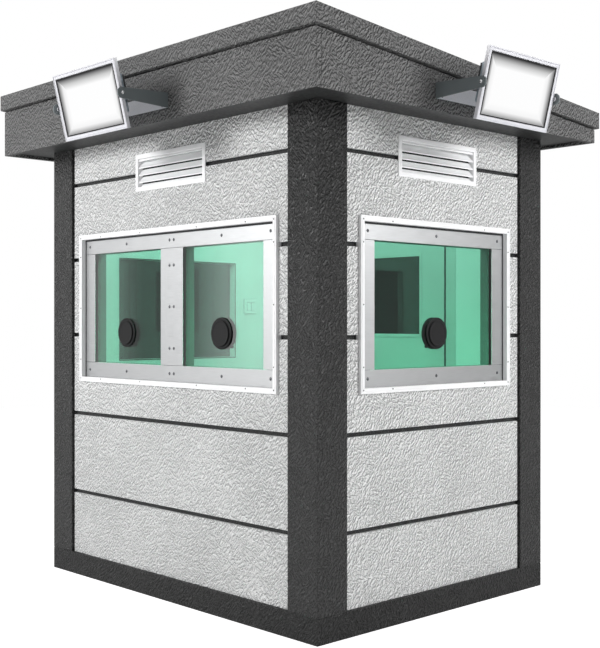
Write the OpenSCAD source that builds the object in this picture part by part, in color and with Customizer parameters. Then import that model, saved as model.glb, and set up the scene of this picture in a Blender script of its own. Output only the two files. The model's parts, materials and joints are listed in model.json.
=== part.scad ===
// Security guard booth: insulated walls with textured cladding boards between
// corner posts, thick glazing with voice ports, louvre vents, a low mono-pitch
// roof with a deep fascia, a rear door and two tilting floodlights.
// Origin: centre of the footprint at ground level. +Z is up, the front wall
// faces -Y and the door is in the rear wall, facing +Y.

/* [Body] */
// Width of the front wall over the corner posts
body_w = 1830; // [1600:10:2400]
// Depth of the side walls over the corner posts
body_d = 1400; // [1250:10:2000]
// Height of the wall tops and of the ceiling above the ground
wall_top = 2000; // [1990:10:2500]
// Height of the base frame and of the floor
base_h = 100; // [60:5:160]
// Width of a corner post on the front and rear faces
post_front_w = 162; // [120:2:200]
// Width of a corner post on the side faces
post_side_w = 156; // [120:2:200]

/* [Wall build-up] */
// Depth of the cladding face behind the faces of the posts
clad_recess = 13; // [5:1:20]
// Thickness of the cladding boards, which is the depth of the grooves
clad_t = 14; // [8:1:20]
// Depth of the inside wall face behind the faces of the posts
wall_t = 100; // [85:1:140]
// Height of the grooves between cladding boards
groove_h = 17; // [8:1:25]
// Height of the lowest board
first_board_h = 280; // [200:1:320]
// Height of the two boards above it
lower_board_h = 351; // [280:1:380]
// Height of the boards above those
upper_board_h = 335; // [280:1:360]
// Gap between the ends of a board and the corner posts
board_end_gap = 3; // [1:1:6]

/* [Windows] */
// Height of the lower edge of the visible glass
sill_z = 998; // [850:1:1100]
// Height of the visible glass
pane_h = 501; // [350:1:605]
// Width of each visible pane in the front window
front_pane_w = 512; // [350:1:560]
// Width of the plate between the two front panes
mullion_w = 156; // [100:1:200]
// Width of the visible pane in the side windows
side_pane_w = 740; // [500:1:760]
// Width of the clamp plates at the sides of the glass, out to the frame's edge
border_side = 100; // [60:1:110]
// Height of the clamp plates above and below the glass, out to the frame's edge
border_end = 90; // [60:1:110]
// Width of the frame's rim
rim_w = 22; // [12:1:30]
// Thickness of the clamp plates
plate_t = 3; // [2:0.5:5]
// Thickness of the glass
glass_t = 30; // [20:1:40]
// Lap of the clamp plates over the edge of the glass
glass_lap = 20; // [10:1:30]

/* [Voice ports] */
// Height of the centres of the voice ports
port_z = 1137; // [1080:1:1300]
// Radius of the port's flanges
port_r = 65; // [50:1:75]
// Radius of the raised cap on the outside
port_cap_r = 53; // [40:1:60]
// Radius of the barrel through the glass
port_barrel_r = 45; // [30:1:48]
// Thickness of the outer flange, and of the cap on it
port_step = 6; // [4:1:10]
// Thickness of the ring on the inside
port_ring_t = 8; // [5:1:12]

/* [Vents] */
// Width of a vent's flange
vent_w = 492; // [350:2:520]
// Height of a vent's flange
vent_h = 163; // [130:1:180]
// Height of a vent's centre above the ground
vent_z = 1837; // [1790:1:1880]
// Width of the flange's border
vent_border = 20; // [15:1:25]
// Thickness of the flange in front of the cladding
vent_flange_t = 4; // [3:0.5:8]
// Depth of the sleeve behind the cladding face
vent_sleeve_d = 46; // [40:1:60]
// Number of louvre pitches between the top lip and the lowest lip
vent_blades = 3; // [2:1:4]

/* [Roof] */
// Distance of the fascia face outside the posts
eave = 170; // [120:5:260]
// Thickness of the fascia boards
fascia_t = 25; // [15:1:40]
// Height of the fascia lip below the ceiling
fascia_lip = 13; // [5:1:25]
// Height of the front fascia at its outer face
fascia_front_h = 211; // [190:1:260]
// Fall of the roof towards the rear, in degrees
roof_slope = 5; // [3:0.5:5.5]
// Thickness of the ceiling panel
ceiling_t = 30; // [20:1:35]
// Thickness of the roof cap
cap_t = 72; // [50:1:90]
// Distance of the cap's edge outside the fascia
cap_overhang = 15; // [8:1:25]
// Height of the shadow gap between fascia and cap
shadow_gap = 6; // [4:1:10]

/* [Door] */
// Clear width between the door jambs
door_open_w = 890; // [740:5:940]
// Height of the door opening above the floor
door_open_h = 1813; // [1750:1:1820]
// Width of the door frame members
door_frame_w = 50; // [40:1:60]
// Thickness of the door leaf
leaf_t = 45; // [40:1:55]
// Running gap round the leaf
leaf_gap = 5; // [5:0.5:8]
// Width of the vision light in the door
vision_w = 445; // [300:5:600]
// Height of the vision light in the door
vision_h = 385; // [200:5:400]
// Height of the vision light's lower edge
vision_z = 1125; // [1100:5:1400]
// Thickness of the vision light's glass unit
vision_t = 24; // [12:1:28]
// Height of the lever handle
handle_z = 1010; // [950:5:1060]

/* [Floodlights] */
// Width of a floodlight's bezel
light_w = 449; // [300:1:460]
// Height of a floodlight's bezel
light_h = 270; // [200:1:280]
// Width of the bezel's border
light_border = 18; // [12:1:25]
// Height of the tilt axis above the ceiling's underside
light_rise = 65; // [60:1:75]
// Distance of the tilt axis from the fascia
light_reach = 215; // [195:1:260]
// Downward tilt of the lights as they stand, in degrees
light_tilt = 14; // [0:1:30]
// Height of the bracket strip at the fascia
strip_h = 60; // [40:1:70]
// Height of the arms at the tilt axis
arm_end_h = 42; // [30:1:50]
// Thickness of the bracket strip
strip_t = 5; // [3:0.5:6]

/* [Hidden] */
$fn = 64;

// Colours
charcoal = "#3f4041";
groove_black = "#1b1c1d";
panel_grey = "#d5d7d6";
frame_white = "#eeeeee";
plate_grey = "#c9cbcc";
glass_green = "#7fd1b5";
port_black = "#232323";
steel_grey = "#6d7374";
lamp_white = "#ffffff";

// Clearances and cutting depths
cut = 50;            // how far a cutting shape runs past a face
seat_gap = 0.5;      // assembly gap round glass, plates and sleeves
plate_gap = 1;       // open joint between neighbouring clamp plates
pin_gap = 0.1;       // radial running clearance of the pins

// Depths behind the post faces
clad_back = clad_recess + clad_t;        // outer face of the wall core
plate_face = clad_back - plate_t;        // outer face of the clamp plates
glass_back = clad_back + glass_t;        // inner face of the glass
side_core_half = body_d / 2 - wall_t;    // side cores stand between front and rear

// Cladding boards: [bottom, top] of each row
groove_1 = base_h + first_board_h;
groove_2 = groove_1 + groove_h + lower_board_h;
groove_3 = groove_2 + groove_h + lower_board_h;
groove_4 = groove_3 + groove_h + upper_board_h;
groove_5 = groove_4 + groove_h + upper_board_h;
groove_starts = [groove_1, groove_2, groove_3, groove_4, groove_5];
board_rows = concat(
    [[base_h, groove_1]],
    [for (i = [0 : 3]) [groove_starts[i] + groove_h, groove_starts[i + 1]]],
    [[groove_5 + groove_h, wall_top]]
);

// Windows: centres of the panes along the wall, and the frame's outer size
front_panes = [-(front_pane_w + mullion_w) / 2, (front_pane_w + mullion_w) / 2];
side_panes = [0];
front_frame_w = 2 * front_pane_w + mullion_w + 2 * border_side;
side_frame_w = side_pane_w + 2 * border_side;
frame_z0 = sill_z - border_end;
frame_z1 = sill_z + pane_h + border_end;

// Voice ports
port_knob_r = 6;          // radius of the small knob on the inside ring
port_knob_angle = -56;    // its direction from the port's centre
port_back_r = 48;         // radius of the inside cap
port_back_t = 4;          // thickness of the inside cap

// Vents
sleeve_wall = 3;                                 // thickness of the vent sleeve
sleeve_w = vent_w - 2 * vent_border + 2 * sleeve_wall;
sleeve_h = vent_h - 2 * vent_border + 2 * sleeve_wall;
blade_t = 2.5;                                   // thickness of a louvre blade
blade_run = 24;                                  // depth of a sloping blade
blade_lip = 5;                                   // height of its front lip
blade_top_drop = 11;                             // top lip below the sleeve's top
blade_foot = 17;                                 // lowest lip above its bottom
blade_pitch = (vent_h - 2 * vent_border - blade_top_drop - blade_foot) / vent_blades;
blade_rise = blade_pitch + blade_lip;            // blades lap, so none is seen between

// Roof
fascia_y = body_d / 2 + eave;                    // fascia faces, front and rear
fascia_x = body_w / 2 + eave;                    // fascia faces, sides
fascia_bottom = wall_top - fascia_lip;
fall = tan(roof_slope);
step_inset = fascia_t / 2;                       // inset of the cap's lower step
cap_seat = 0.05;                                 // joint between that step and the boards
roof_clear = 5;                                  // least height between ceiling and cap
front_h = max(fascia_front_h,                    // kept tall enough for the fall
              fascia_lip + ceiling_t + roof_clear + 2 * fascia_y * fall);

// Door
leaf_hinge_x = door_open_w / 2 - leaf_gap;       // leaf edge at the hinge
leaf_latch_x = door_open_w / 2 - leaf_gap - 2;   // leaf edge at the latch
leaf_proud = 2;                                  // leaf face outside the posts
leaf_back = leaf_t - leaf_proud;                 // inner face of the leaf
door_sill_t = 3;                                 // thickness of the sill plate
door_head_w = 39;                                // height of the frame's head
leaf_z0 = base_h + door_sill_t + leaf_gap;
door_head_z = base_h + door_open_h;
leaf_z1 = door_head_z - leaf_gap;
stop_w = 20;                                     // width of the stop strips
stop_y = leaf_back + leaf_gap;                   // outer face of the stops
frame_top = door_head_z + door_head_w;           // top of the door frame
frame_half = door_open_w / 2 + door_frame_w;     // outer half-width of the frame
vision_lap = 10;                                 // glass edge held in the leaf
hinge_x = door_open_w / 2 + 2;                   // hinge pins, from the centre
hinge_out = 10;                                  // hinge pins, outside the posts
barrel_r = 8;
barrel_h = 45;
hinge_pin_r = 4.9;
hinge_pin_h = 40;
hinge_heights = [300, 1000, 1700];
hinge_leaf_w = 50;                               // width of the hinge leaves
hinge_leaf_t = 4;
washer_gap = 0.5;                                // gap between hinge barrels
handle_x = leaf_latch_x - 62;                    // spindle of the lever
rose_r = 26;
rose_t = 8;
neck_r = 9;
neck_l = 38;                                     // lever's distance from the leaf
lever_l = 120;
lever_h = 18;
lever_t = 12;
spindle_r = 7;

// Light switch
switch_w = 85;
switch_h = 80;
switch_t = 9;
switch_z = 1270;
switch_from_front = 1176;                        // its centre behind the front posts
rocker_w = 24;
rocker_h = 44;
rocker_t = 3;
rocker_offset = 18;                              // rocker centres from the middle

// Floodlights
light_z = wall_top + light_rise;                 // height of the tilt axis
bezel_face = 2;                                  // bezel face outside the axis
bezel_d = 16;                                    // depth of the bezel
lens_recess = 3;                                 // lens face inside the bezel face
lens_t = 9;
back_box_w = 436;
back_box_h = 148;
back_box_d = 28;
arm_gap = 8;                                     // gap between bezel and arms
arm_in = light_w / 2 + arm_gap;                  // inner face of an arm
arm_tip = 22;                                    // length of an arm past the axis
tilt_pin_r = 5;
tilt_head_r = 7;
tilt_head_t = 4;
tilt_boss_r = 9;

// A block between two opposite corners
module block(lo, hi) {
    translate(lo) cube(hi - lo);
}

// Wall frames: X runs along the wall to the right as seen from outside,
// Y is the depth behind the faces of the posts, Z is the height.
module at_front() {
    translate([0, -body_d / 2, 0]) children();
}
module at_right() {
    translate([body_w / 2, 0, 0]) rotate([0, 0, 90]) children();
}
module at_rear() {
    translate([0, body_d / 2, 0]) rotate([0, 0, 180]) children();
}
module at_left() {
    translate([-body_w / 2, 0, 0]) rotate([0, 0, -90]) children();
}

// ---- Base, floor and posts ----

module base_frame() {
    color(charcoal) difference() {
        block([-body_w / 2, -body_d / 2, 0], [body_w / 2, body_d / 2, base_h]);
        block([-body_w / 2 + wall_t, -body_d / 2 + wall_t, -cut],
              [body_w / 2 - wall_t, body_d / 2 - wall_t, base_h + cut]);
    }
}

module floor_deck() {
    color(steel_grey)
        block([-body_w / 2 + wall_t, -body_d / 2 + wall_t, 0],
              [body_w / 2 - wall_t, body_d / 2 - wall_t, base_h]);
}

// Angle-shaped corner post; side_x and side_y are +1 or -1
module corner_post(side_x, side_y) {
    color(charcoal)
        translate([side_x * body_w / 2, side_y * body_d / 2, base_h])
            mirror([side_x > 0 ? 1 : 0, 0, 0])
                mirror([0, side_y > 0 ? 1 : 0, 0])
                    linear_extrude(wall_top - base_h)
                        polygon([
                            [0, 0], [post_front_w, 0], [post_front_w, clad_back],
                            [clad_back, clad_back], [clad_back, post_side_w],
                            [0, post_side_w]
                        ]);
}

// ---- Walls ----

// Through-opening for one pane, with a step that the glass sits against
module pane_opening(centre_x, pane_w) {
    block([centre_x - pane_w / 2 - glass_lap, clad_back - cut, sill_z - glass_lap],
          [centre_x + pane_w / 2 + glass_lap, glass_back, sill_z + pane_h + glass_lap]);
    block([centre_x - pane_w / 2, clad_back, sill_z],
          [centre_x + pane_w / 2, wall_t + cut, sill_z + pane_h]);
}

// Opening for a vent sleeve; start and end are depths
module vent_opening(start, end) {
    block([-sleeve_w / 2 - seat_gap, start, vent_z - sleeve_h / 2 - seat_gap],
          [sleeve_w / 2 + seat_gap, end, vent_z + sleeve_h / 2 + seat_gap]);
}

// Wall core of half-length half_l with its panes and a vent opening
module wall_core(half_l, panes, pane_w) {
    color(groove_black) difference() {
        block([-half_l, clad_back, base_h], [half_l, wall_t, wall_top]);
        for (x = panes) pane_opening(x, pane_w);
        vent_opening(clad_back - cut, wall_t + cut);
    }
}

// Boards of one wall between its posts, cut for the window frame and vent
module boards(wall_l, post_w) {
    half = wall_l / 2 - post_w - board_end_gap;
    color(panel_grey) for (row = board_rows)
        block([-half, clad_recess, row[0]], [half, clad_back, row[1]]);
}

module wall_cladding(wall_l, post_w, frame_w) {
    difference() {
        boards(wall_l, post_w);
        block([-frame_w / 2, -cut, frame_z0], [frame_w / 2, clad_back + cut, frame_z1]);
        vent_opening(-cut, clad_back + cut);
    }
}

module rear_wall_side(side) {
    lo = min(side * frame_half, side * (body_w / 2 - clad_back));
    hi = max(side * frame_half, side * (body_w / 2 - clad_back));
    color(groove_black)
        block([lo, clad_back, base_h], [hi, wall_t, wall_top]);
}

module rear_wall_head() {
    color(groove_black)
        block([-frame_half, clad_back, frame_top], [frame_half, wall_t, wall_top]);
}

module rear_cladding() {
    difference() {
        boards(body_w, post_front_w);
        block([-frame_half, -cut, 0], [frame_half, clad_back + cut, frame_top]);
    }
}

// ---- Windows ----

module window_frame(frame_w) {
    color(frame_white) difference() {
        block([-frame_w / 2, 0, frame_z0], [frame_w / 2, clad_back, frame_z1]);
        block([-frame_w / 2 + rim_w, -cut, frame_z0 + rim_w],
              [frame_w / 2 - rim_w, clad_back + cut, frame_z1 - rim_w]);
    }
}

// Plates that clamp the glass: one above, one below, and uprights between
module window_plates(frame_w, panes, pane_w) {
    half = frame_w / 2 - rim_w - seat_gap;
    z_lo = frame_z0 + rim_w + seat_gap;
    z_hi = frame_z1 - rim_w - seat_gap;
    upright_lo = sill_z + plate_gap;
    upright_hi = sill_z + pane_h - plate_gap;
    first = panes[0] - pane_w / 2;
    last = panes[len(panes) - 1] + pane_w / 2;
    color(plate_grey) {
        block([-half, plate_face, z_lo], [half, clad_back, sill_z]);
        block([-half, plate_face, sill_z + pane_h], [half, clad_back, z_hi]);
        block([-half, plate_face, upright_lo], [first, clad_back, upright_hi]);
        block([last, plate_face, upright_lo], [half, clad_back, upright_hi]);
        if (len(panes) > 1)
            block([panes[0] + pane_w / 2, plate_face, upright_lo],
                  [panes[1] - pane_w / 2, clad_back, upright_hi]);
    }
}

// Panes, each with a hole for its voice port where it has one
module window_glass(panes, pane_w, has_port) {
    lap = glass_lap - seat_gap;
    color(glass_green, 0.5) for (x = panes) difference() {
        block([x - pane_w / 2 - lap, clad_back, sill_z - lap],
              [x + pane_w / 2 + lap, glass_back, sill_z + pane_h + lap]);
        if (has_port)
            translate([x, clad_back - cut, port_z]) rotate([-90, 0, 0])
                cylinder(r = port_barrel_r + seat_gap, h = glass_t + 2 * cut);
    }
}

// Flanged voice port; hand is +1 or -1 and sets the knob's side
module voice_port(centre_x, hand) {
    color(port_black) translate([centre_x, clad_back, port_z]) {
        rotate([90, 0, 0]) cylinder(r = port_r, h = port_step);
        rotate([90, 0, 0]) cylinder(r = port_cap_r, h = 2 * port_step);
        rotate([-90, 0, 0]) cylinder(r = port_barrel_r, h = glass_t + port_ring_t);
        translate([0, glass_t, 0]) {
            rotate([-90, 0, 0]) cylinder(r = port_r, h = port_ring_t);
            rotate([-90, 0, 0]) cylinder(r = port_back_r, h = port_ring_t + port_back_t);
            translate([hand * port_r * cos(port_knob_angle), port_ring_t / 2,
                       port_r * sin(port_knob_angle)])
                rotate([-90, 0, 0])
                    cylinder(r = port_knob_r, h = port_ring_t);
        }
    }
}

// ---- Vents ----

// Louvre blade of half-length half_l: sloping plate with an upright front lip
module vent_blade(half_l, edge_z) {
    translate([-half_l, clad_recess, edge_z])
        rotate([90, 0, 90]) linear_extrude(2 * half_l)
            polygon([
                [0, 0], [blade_t, 0], [blade_t, blade_lip - blade_t],
                [blade_run + blade_t, blade_rise - blade_t],
                [blade_run + blade_t, blade_rise], [0, blade_lip]
            ]);
}

module vent() {
    in_w = sleeve_w / 2 - sleeve_wall;
    in_h = sleeve_h / 2 - sleeve_wall;
    color(frame_white) {
        difference() {
            union() {
                block([-vent_w / 2, clad_recess - vent_flange_t, vent_z - vent_h / 2],
                      [vent_w / 2, clad_recess, vent_z + vent_h / 2]);
                block([-sleeve_w / 2, clad_recess, vent_z - sleeve_h / 2],
                      [sleeve_w / 2, clad_recess + vent_sleeve_d, vent_z + sleeve_h / 2]);
            }
            block([-in_w, -cut, vent_z - in_h], [in_w, wall_t + cut, vent_z + in_h]);
        }
        intersection() {
            block([-in_w - sleeve_wall / 2, 0, vent_z - in_h - sleeve_wall / 2],
                  [in_w + sleeve_wall / 2, wall_t, vent_z + in_h + sleeve_wall / 2]);
            for (i = [0 : vent_blades + 1])
                vent_blade(in_w + sleeve_wall, vent_z + in_h - blade_top_drop - i * blade_pitch);
        }
    }
}

// ---- Roof ----

// Height of the fascia's top edge at a place y along the fall
function fascia_top(y) = fascia_bottom + front_h - (y + fascia_y) * fall;

// Prism along X from a profile in the Y-Z plane
module along_x(half_l, profile) {
    translate([-half_l, 0, 0]) rotate([90, 0, 90])
        linear_extrude(2 * half_l) polygon(profile);
}

// Profile between two places along the fall, up to the fascia's top edge
function fascia_profile(y0, y1) = [
    [y0, fascia_bottom], [y1, fascia_bottom], [y1, fascia_top(y1)], [y0, fascia_top(y0)]
];

module ceiling() {
    color(charcoal)
        block([-fascia_x + fascia_t, -fascia_y + fascia_t, wall_top],
              [fascia_x - fascia_t, fascia_y - fascia_t, wall_top + ceiling_t]);
}

module fascia_front() {
    color(charcoal) along_x(fascia_x, fascia_profile(-fascia_y, -fascia_y + fascia_t));
}

module fascia_rear() {
    color(charcoal) along_x(fascia_x, fascia_profile(fascia_y - fascia_t, fascia_y));
}

module fascia_side(side) {
    color(charcoal) translate([side * (fascia_x - fascia_t / 2), 0, 0])
        along_x(fascia_t / 2, fascia_profile(-fascia_y + fascia_t, fascia_y - fascia_t));
}

// Sloping slab that reaches past the fascia by a distance out
function slab_profile(out, lift, thick) = [
    [-fascia_y - out, fascia_top(-fascia_y - out) + lift],
    [fascia_y + out, fascia_top(fascia_y + out) + lift],
    [fascia_y + out, fascia_top(fascia_y + out) + lift + thick],
    [-fascia_y - out, fascia_top(-fascia_y - out) + lift + thick]
];

module roof_cap() {
    color(charcoal) {
        along_x(fascia_x + cap_overhang, slab_profile(cap_overhang, shadow_gap, cap_t));
        along_x(fascia_x - step_inset,
                slab_profile(-step_inset, cap_seat, shadow_gap - cap_seat));
    }
}

// ---- Door, in the rear wall's frame: the hinges are at its left ----

// Lower half of a lift-off hinge, with its pin
module hinge_lower(z) {
    block([-hinge_x - hinge_leaf_w, -hinge_leaf_t, z - barrel_h], [-hinge_x, 0, z]);
    translate([-hinge_x, -hinge_out, z - barrel_h]) cylinder(r = barrel_r, h = barrel_h);
    translate([-hinge_x, -hinge_out, z]) cylinder(r = hinge_pin_r, h = hinge_pin_h);
}

// Upper half, welded to the leaf
module hinge_upper(z) {
    z0 = z + washer_gap;
    block([-hinge_x, -leaf_proud - hinge_leaf_t, z0],
          [-hinge_x + hinge_leaf_w, -leaf_proud, z0 + barrel_h]);
    translate([-hinge_x, -hinge_out, z0]) cylinder(r = barrel_r, h = barrel_h);
}

module hinge_bore(z) {
    translate([-hinge_x, -hinge_out, z - 1])
        cylinder(r = hinge_pin_r + pin_gap, h = hinge_pin_h + 3);
}

module door_frame() {
    color(charcoal) {
        difference() {
            block([-frame_half, 0, base_h], [frame_half, wall_t, frame_top]);
            block([-door_open_w / 2, -cut, base_h + door_sill_t],
                  [door_open_w / 2, stop_y, door_head_z]);
            block([-door_open_w / 2 + stop_w, -cut, base_h + door_sill_t],
                  [door_open_w / 2 - stop_w, wall_t + cut, door_head_z - stop_w]);
        }
        for (z = hinge_heights) hinge_lower(z);
    }
}

module door_leaf() {
    mid = (leaf_back - leaf_proud) / 2;
    half_unit = vision_t / 2 + seat_gap / 2;
    color(charcoal) difference() {
        union() {
            block([-leaf_hinge_x, -leaf_proud, leaf_z0], [leaf_latch_x, leaf_back, leaf_z1]);
            for (z = hinge_heights) hinge_upper(z);
        }
        block([-vision_w / 2, -cut, vision_z], [vision_w / 2, wall_t, vision_z + vision_h]);
        block([-vision_w / 2 - vision_lap, mid - half_unit, vision_z - vision_lap],
              [vision_w / 2 + vision_lap, mid + half_unit, vision_z + vision_h + vision_lap]);
        for (z = hinge_heights) hinge_bore(z);
        translate([handle_x, -cut, handle_z]) rotate([-90, 0, 0])
            cylinder(r = spindle_r + seat_gap, h = leaf_t + 2 * cut);
    }
}

module door_glass() {
    mid = (leaf_back - leaf_proud) / 2;
    lap = vision_lap - seat_gap / 2;
    color(steel_grey, 0.6)
        block([-vision_w / 2 - lap, mid - vision_t / 2, vision_z - lap],
              [vision_w / 2 + lap, mid + vision_t / 2, vision_z + vision_h + lap]);
}

// Rose, neck and lever on one face; dir is -1 outside and +1 inside
module lever_set(face_y, dir) {
    turn = dir > 0 ? -90 : 90;
    translate([handle_x, face_y, handle_z]) {
        rotate([turn, 0, 0]) cylinder(r = rose_r, h = rose_t);
        rotate([turn, 0, 0]) cylinder(r = neck_r, h = neck_l);
        block([-lever_l, dir > 0 ? neck_l - lever_t : -neck_l, -lever_h / 2],
              [neck_r, dir > 0 ? neck_l : lever_t - neck_l, lever_h / 2]);
    }
}

module door_handle() {
    color(plate_grey) {
        lever_set(-leaf_proud, -1);
        lever_set(leaf_back, 1);
        translate([handle_x, -leaf_proud, handle_z]) rotate([-90, 0, 0])
            cylinder(r = spindle_r, h = leaf_t);
    }
}

// Two-rocker switch on the inside of the left wall, near the door
module light_switch() {
    color(frame_white)
        translate([-body_w / 2 + wall_t, -body_d / 2 + switch_from_front, switch_z]) {
            block([0, -switch_w / 2, -switch_h / 2], [switch_t, switch_w / 2, switch_h / 2]);
            for (side = [-1, 1])
                translate([0, side * rocker_offset, 0])
                    block([0, -rocker_w / 2, -rocker_h / 2],
                          [switch_t + rocker_t, rocker_w / 2, rocker_h / 2]);
        }
}

// ---- Floodlights, in a wall's frame ----

// Strip on the fascia with an arm at each end
module light_bracket() {
    arm_out = arm_in + strip_t;
    color(steel_grey) translate([0, -eave, light_z]) {
        block([-arm_out, -strip_t, -strip_h / 2], [arm_out, 0, strip_h / 2]);
        for (side = [-1, 1]) difference() {
            translate([side * (arm_in + strip_t / 2) - strip_t / 2, 0, 0])
                rotate([90, 0, 90]) linear_extrude(strip_t)
                    polygon([
                        [0, -strip_h / 2], [0, strip_h / 2],
                        [-light_reach - arm_tip / 2, arm_end_h / 2],
                        [-light_reach - arm_tip, arm_end_h / 4],
                        [-light_reach - arm_tip, -arm_end_h / 4],
                        [-light_reach - arm_tip / 2, -arm_end_h / 2]
                    ]);
            translate([side * arm_in - cut, -light_reach, 0]) rotate([0, 90, 0])
                cylinder(r = tilt_pin_r + pin_gap, h = 2 * cut);
        }
    }
}

// Places the tilting part: its origin is on the tilt axis
module light_pose() {
    translate([0, -eave - light_reach, light_z]) rotate([light_tilt, 0, 0]) children();
}

module light_housing() {
    back = bezel_d - bezel_face;
    pin_l = arm_gap + strip_t + pin_gap;
    color(frame_white) light_pose() {
        difference() {
            block([-light_w / 2, -bezel_face, -light_h / 2], [light_w / 2, back, light_h / 2]);
            block([-light_w / 2 + light_border, -cut, -light_h / 2 + light_border],
                  [light_w / 2 - light_border, lens_recess - bezel_face + lens_t,
                   light_h / 2 - light_border]);
        }
        block([-back_box_w / 2, back, -back_box_h / 2],
              [back_box_w / 2, back + back_box_d, back_box_h / 2]);
        for (side = [-1, 1]) rotate([0, side * 90, 0]) translate([0, 0, light_w / 2]) {
            cylinder(r = tilt_boss_r, h = arm_gap - 1);
            cylinder(r = tilt_pin_r, h = pin_l);
            translate([0, 0, pin_l]) cylinder(r = tilt_head_r, h = tilt_head_t);
        }
    }
}

module light_lens() {
    half_w = light_w / 2 - light_border - seat_gap;
    half_h = light_h / 2 - light_border - seat_gap;
    face = lens_recess - bezel_face;
    color(lamp_white) light_pose()
        block([-half_w, face, -half_h], [half_w, face + lens_t, half_h]);
}

// ---- Assembly ----

base_frame();
floor_deck();  // floor
corner_post(-1, -1);  // post_front_left
corner_post(1, -1);  // post_front_right
corner_post(-1, 1);  // post_rear_left
corner_post(1, 1);  // post_rear_right
at_front() wall_core(body_w / 2 - clad_back, front_panes, front_pane_w);  // front_wall
at_right() wall_core(side_core_half, side_panes, side_pane_w);  // right_wall
at_left() wall_core(side_core_half, side_panes, side_pane_w);  // left_wall
at_rear() rear_wall_side(1);  // rear_wall_left
at_rear() rear_wall_side(-1);  // rear_wall_right
at_rear() rear_wall_head();
at_front() wall_cladding(body_w, post_front_w, front_frame_w);  // front_cladding
at_right() wall_cladding(body_d, post_side_w, side_frame_w);  // right_cladding
at_left() wall_cladding(body_d, post_side_w, side_frame_w);  // left_cladding
at_rear() rear_cladding();
at_front() window_frame(front_frame_w);  // front_window_frame
at_right() window_frame(side_frame_w);  // right_window_frame
at_left() window_frame(side_frame_w);  // left_window_frame
at_front() window_plates(front_frame_w, front_panes, front_pane_w);  // front_window_plates
at_right() window_plates(side_frame_w, side_panes, side_pane_w);  // right_window_plates
at_left() window_plates(side_frame_w, side_panes, side_pane_w);  // left_window_plates
at_front() window_glass(front_panes, front_pane_w, true);  // front_glass
at_right() window_glass(side_panes, side_pane_w, true);  // right_glass
at_left() window_glass(side_panes, side_pane_w, false);  // left_glass
at_front() for (x = front_panes) voice_port(x, 1);  // front_voice_ports
at_right() voice_port(0, -1);  // right_voice_port
at_front() vent();  // front_vent
at_right() vent();  // right_vent
at_left() vent();  // left_vent
ceiling();
fascia_front();
fascia_rear();
fascia_side(-1);  // fascia_left
fascia_side(1);  // fascia_right
roof_cap();
at_rear() door_frame();
at_rear() door_leaf();
at_rear() door_glass();
at_rear() door_handle();
light_switch();
at_front() light_bracket();  // front_light_bracket
at_front() light_housing();  // front_light_housing
at_front() light_lens();  // front_light_lens
at_right() light_bracket();  // right_light_bracket
at_right() light_housing();  // right_light_housing
at_right() light_lens();  // right_light_lens
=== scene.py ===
"""Looks of a security guard booth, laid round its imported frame, in metres."""

import json
import math

import bmesh
import bpy
from bpy.props import FloatProperty, FloatVectorProperty, IntProperty, PointerProperty
from mathutils import Matrix, Vector


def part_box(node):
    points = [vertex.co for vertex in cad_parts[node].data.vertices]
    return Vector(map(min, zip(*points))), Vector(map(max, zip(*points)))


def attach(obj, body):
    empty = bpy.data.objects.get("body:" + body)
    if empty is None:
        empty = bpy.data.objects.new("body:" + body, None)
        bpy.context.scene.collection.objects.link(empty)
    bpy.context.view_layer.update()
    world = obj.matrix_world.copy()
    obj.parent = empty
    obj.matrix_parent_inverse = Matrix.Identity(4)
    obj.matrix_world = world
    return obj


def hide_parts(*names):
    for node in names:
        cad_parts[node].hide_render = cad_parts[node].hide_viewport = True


bl_info = {
    "name": "Guard Booth",
    "version": (1, 0, 0),
    "blender": (4, 5, 0),
    "location": "3D View > Sidebar > Booth",
    "description": "Builds the finishes and the small parts of a security guard booth",
    "category": "Object",
}

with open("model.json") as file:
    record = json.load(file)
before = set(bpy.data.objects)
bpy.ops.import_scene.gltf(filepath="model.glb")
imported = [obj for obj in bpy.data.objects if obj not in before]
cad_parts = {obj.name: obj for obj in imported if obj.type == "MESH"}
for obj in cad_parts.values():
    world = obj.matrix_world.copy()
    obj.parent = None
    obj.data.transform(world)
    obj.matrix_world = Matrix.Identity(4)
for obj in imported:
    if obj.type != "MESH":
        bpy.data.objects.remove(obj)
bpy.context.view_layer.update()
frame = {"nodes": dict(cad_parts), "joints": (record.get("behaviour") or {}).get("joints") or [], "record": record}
RECORD = frame["record"]
BODY_OF = {n: b for b, names in RECORD["behaviour"]["bodies"].items() for n in names}
SLOT_OF = {part["node"]: part["material_slot"] for part in RECORD["subparts"]}
BASE_LOW, BASE_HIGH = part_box("base_frame")


def turned(axis, degrees):
    """A turn about one axis."""
    return Matrix.Rotation(math.radians(degrees), 4, axis)


# Each wall's own frame: X runs along it to the right as seen from outside, Y goes
# into the booth from the faces of the posts, Z is up.
WALLS = {
    "front": Matrix.Translation((0, BASE_LOW.y, 0)),
    "right": Matrix.Translation((BASE_HIGH.x, 0, 0)) @ turned("Z", 90),
    "rear": Matrix.Translation((0, BASE_HIGH.y, 0)) @ turned("Z", 180),
    "left": Matrix.Translation((BASE_LOW.x, 0, 0)) @ turned("Z", -90),
}
LIGHT_TILT = 14.0     # how far the floodlights look down at rest, in degrees
TILT_AXIS = {j["name"]: Vector(j["pos_m"]) for j in frame["joints"]}
LIGHTS = {
    "front": Matrix.Translation(TILT_AXIS["front_light_tilt"])
    @ turned("X", LIGHT_TILT),
    "right": Matrix.Translation(TILT_AXIS["right_light_tilt"])
    @ turned("Z", 90) @ turned("X", LIGHT_TILT),
}

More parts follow.
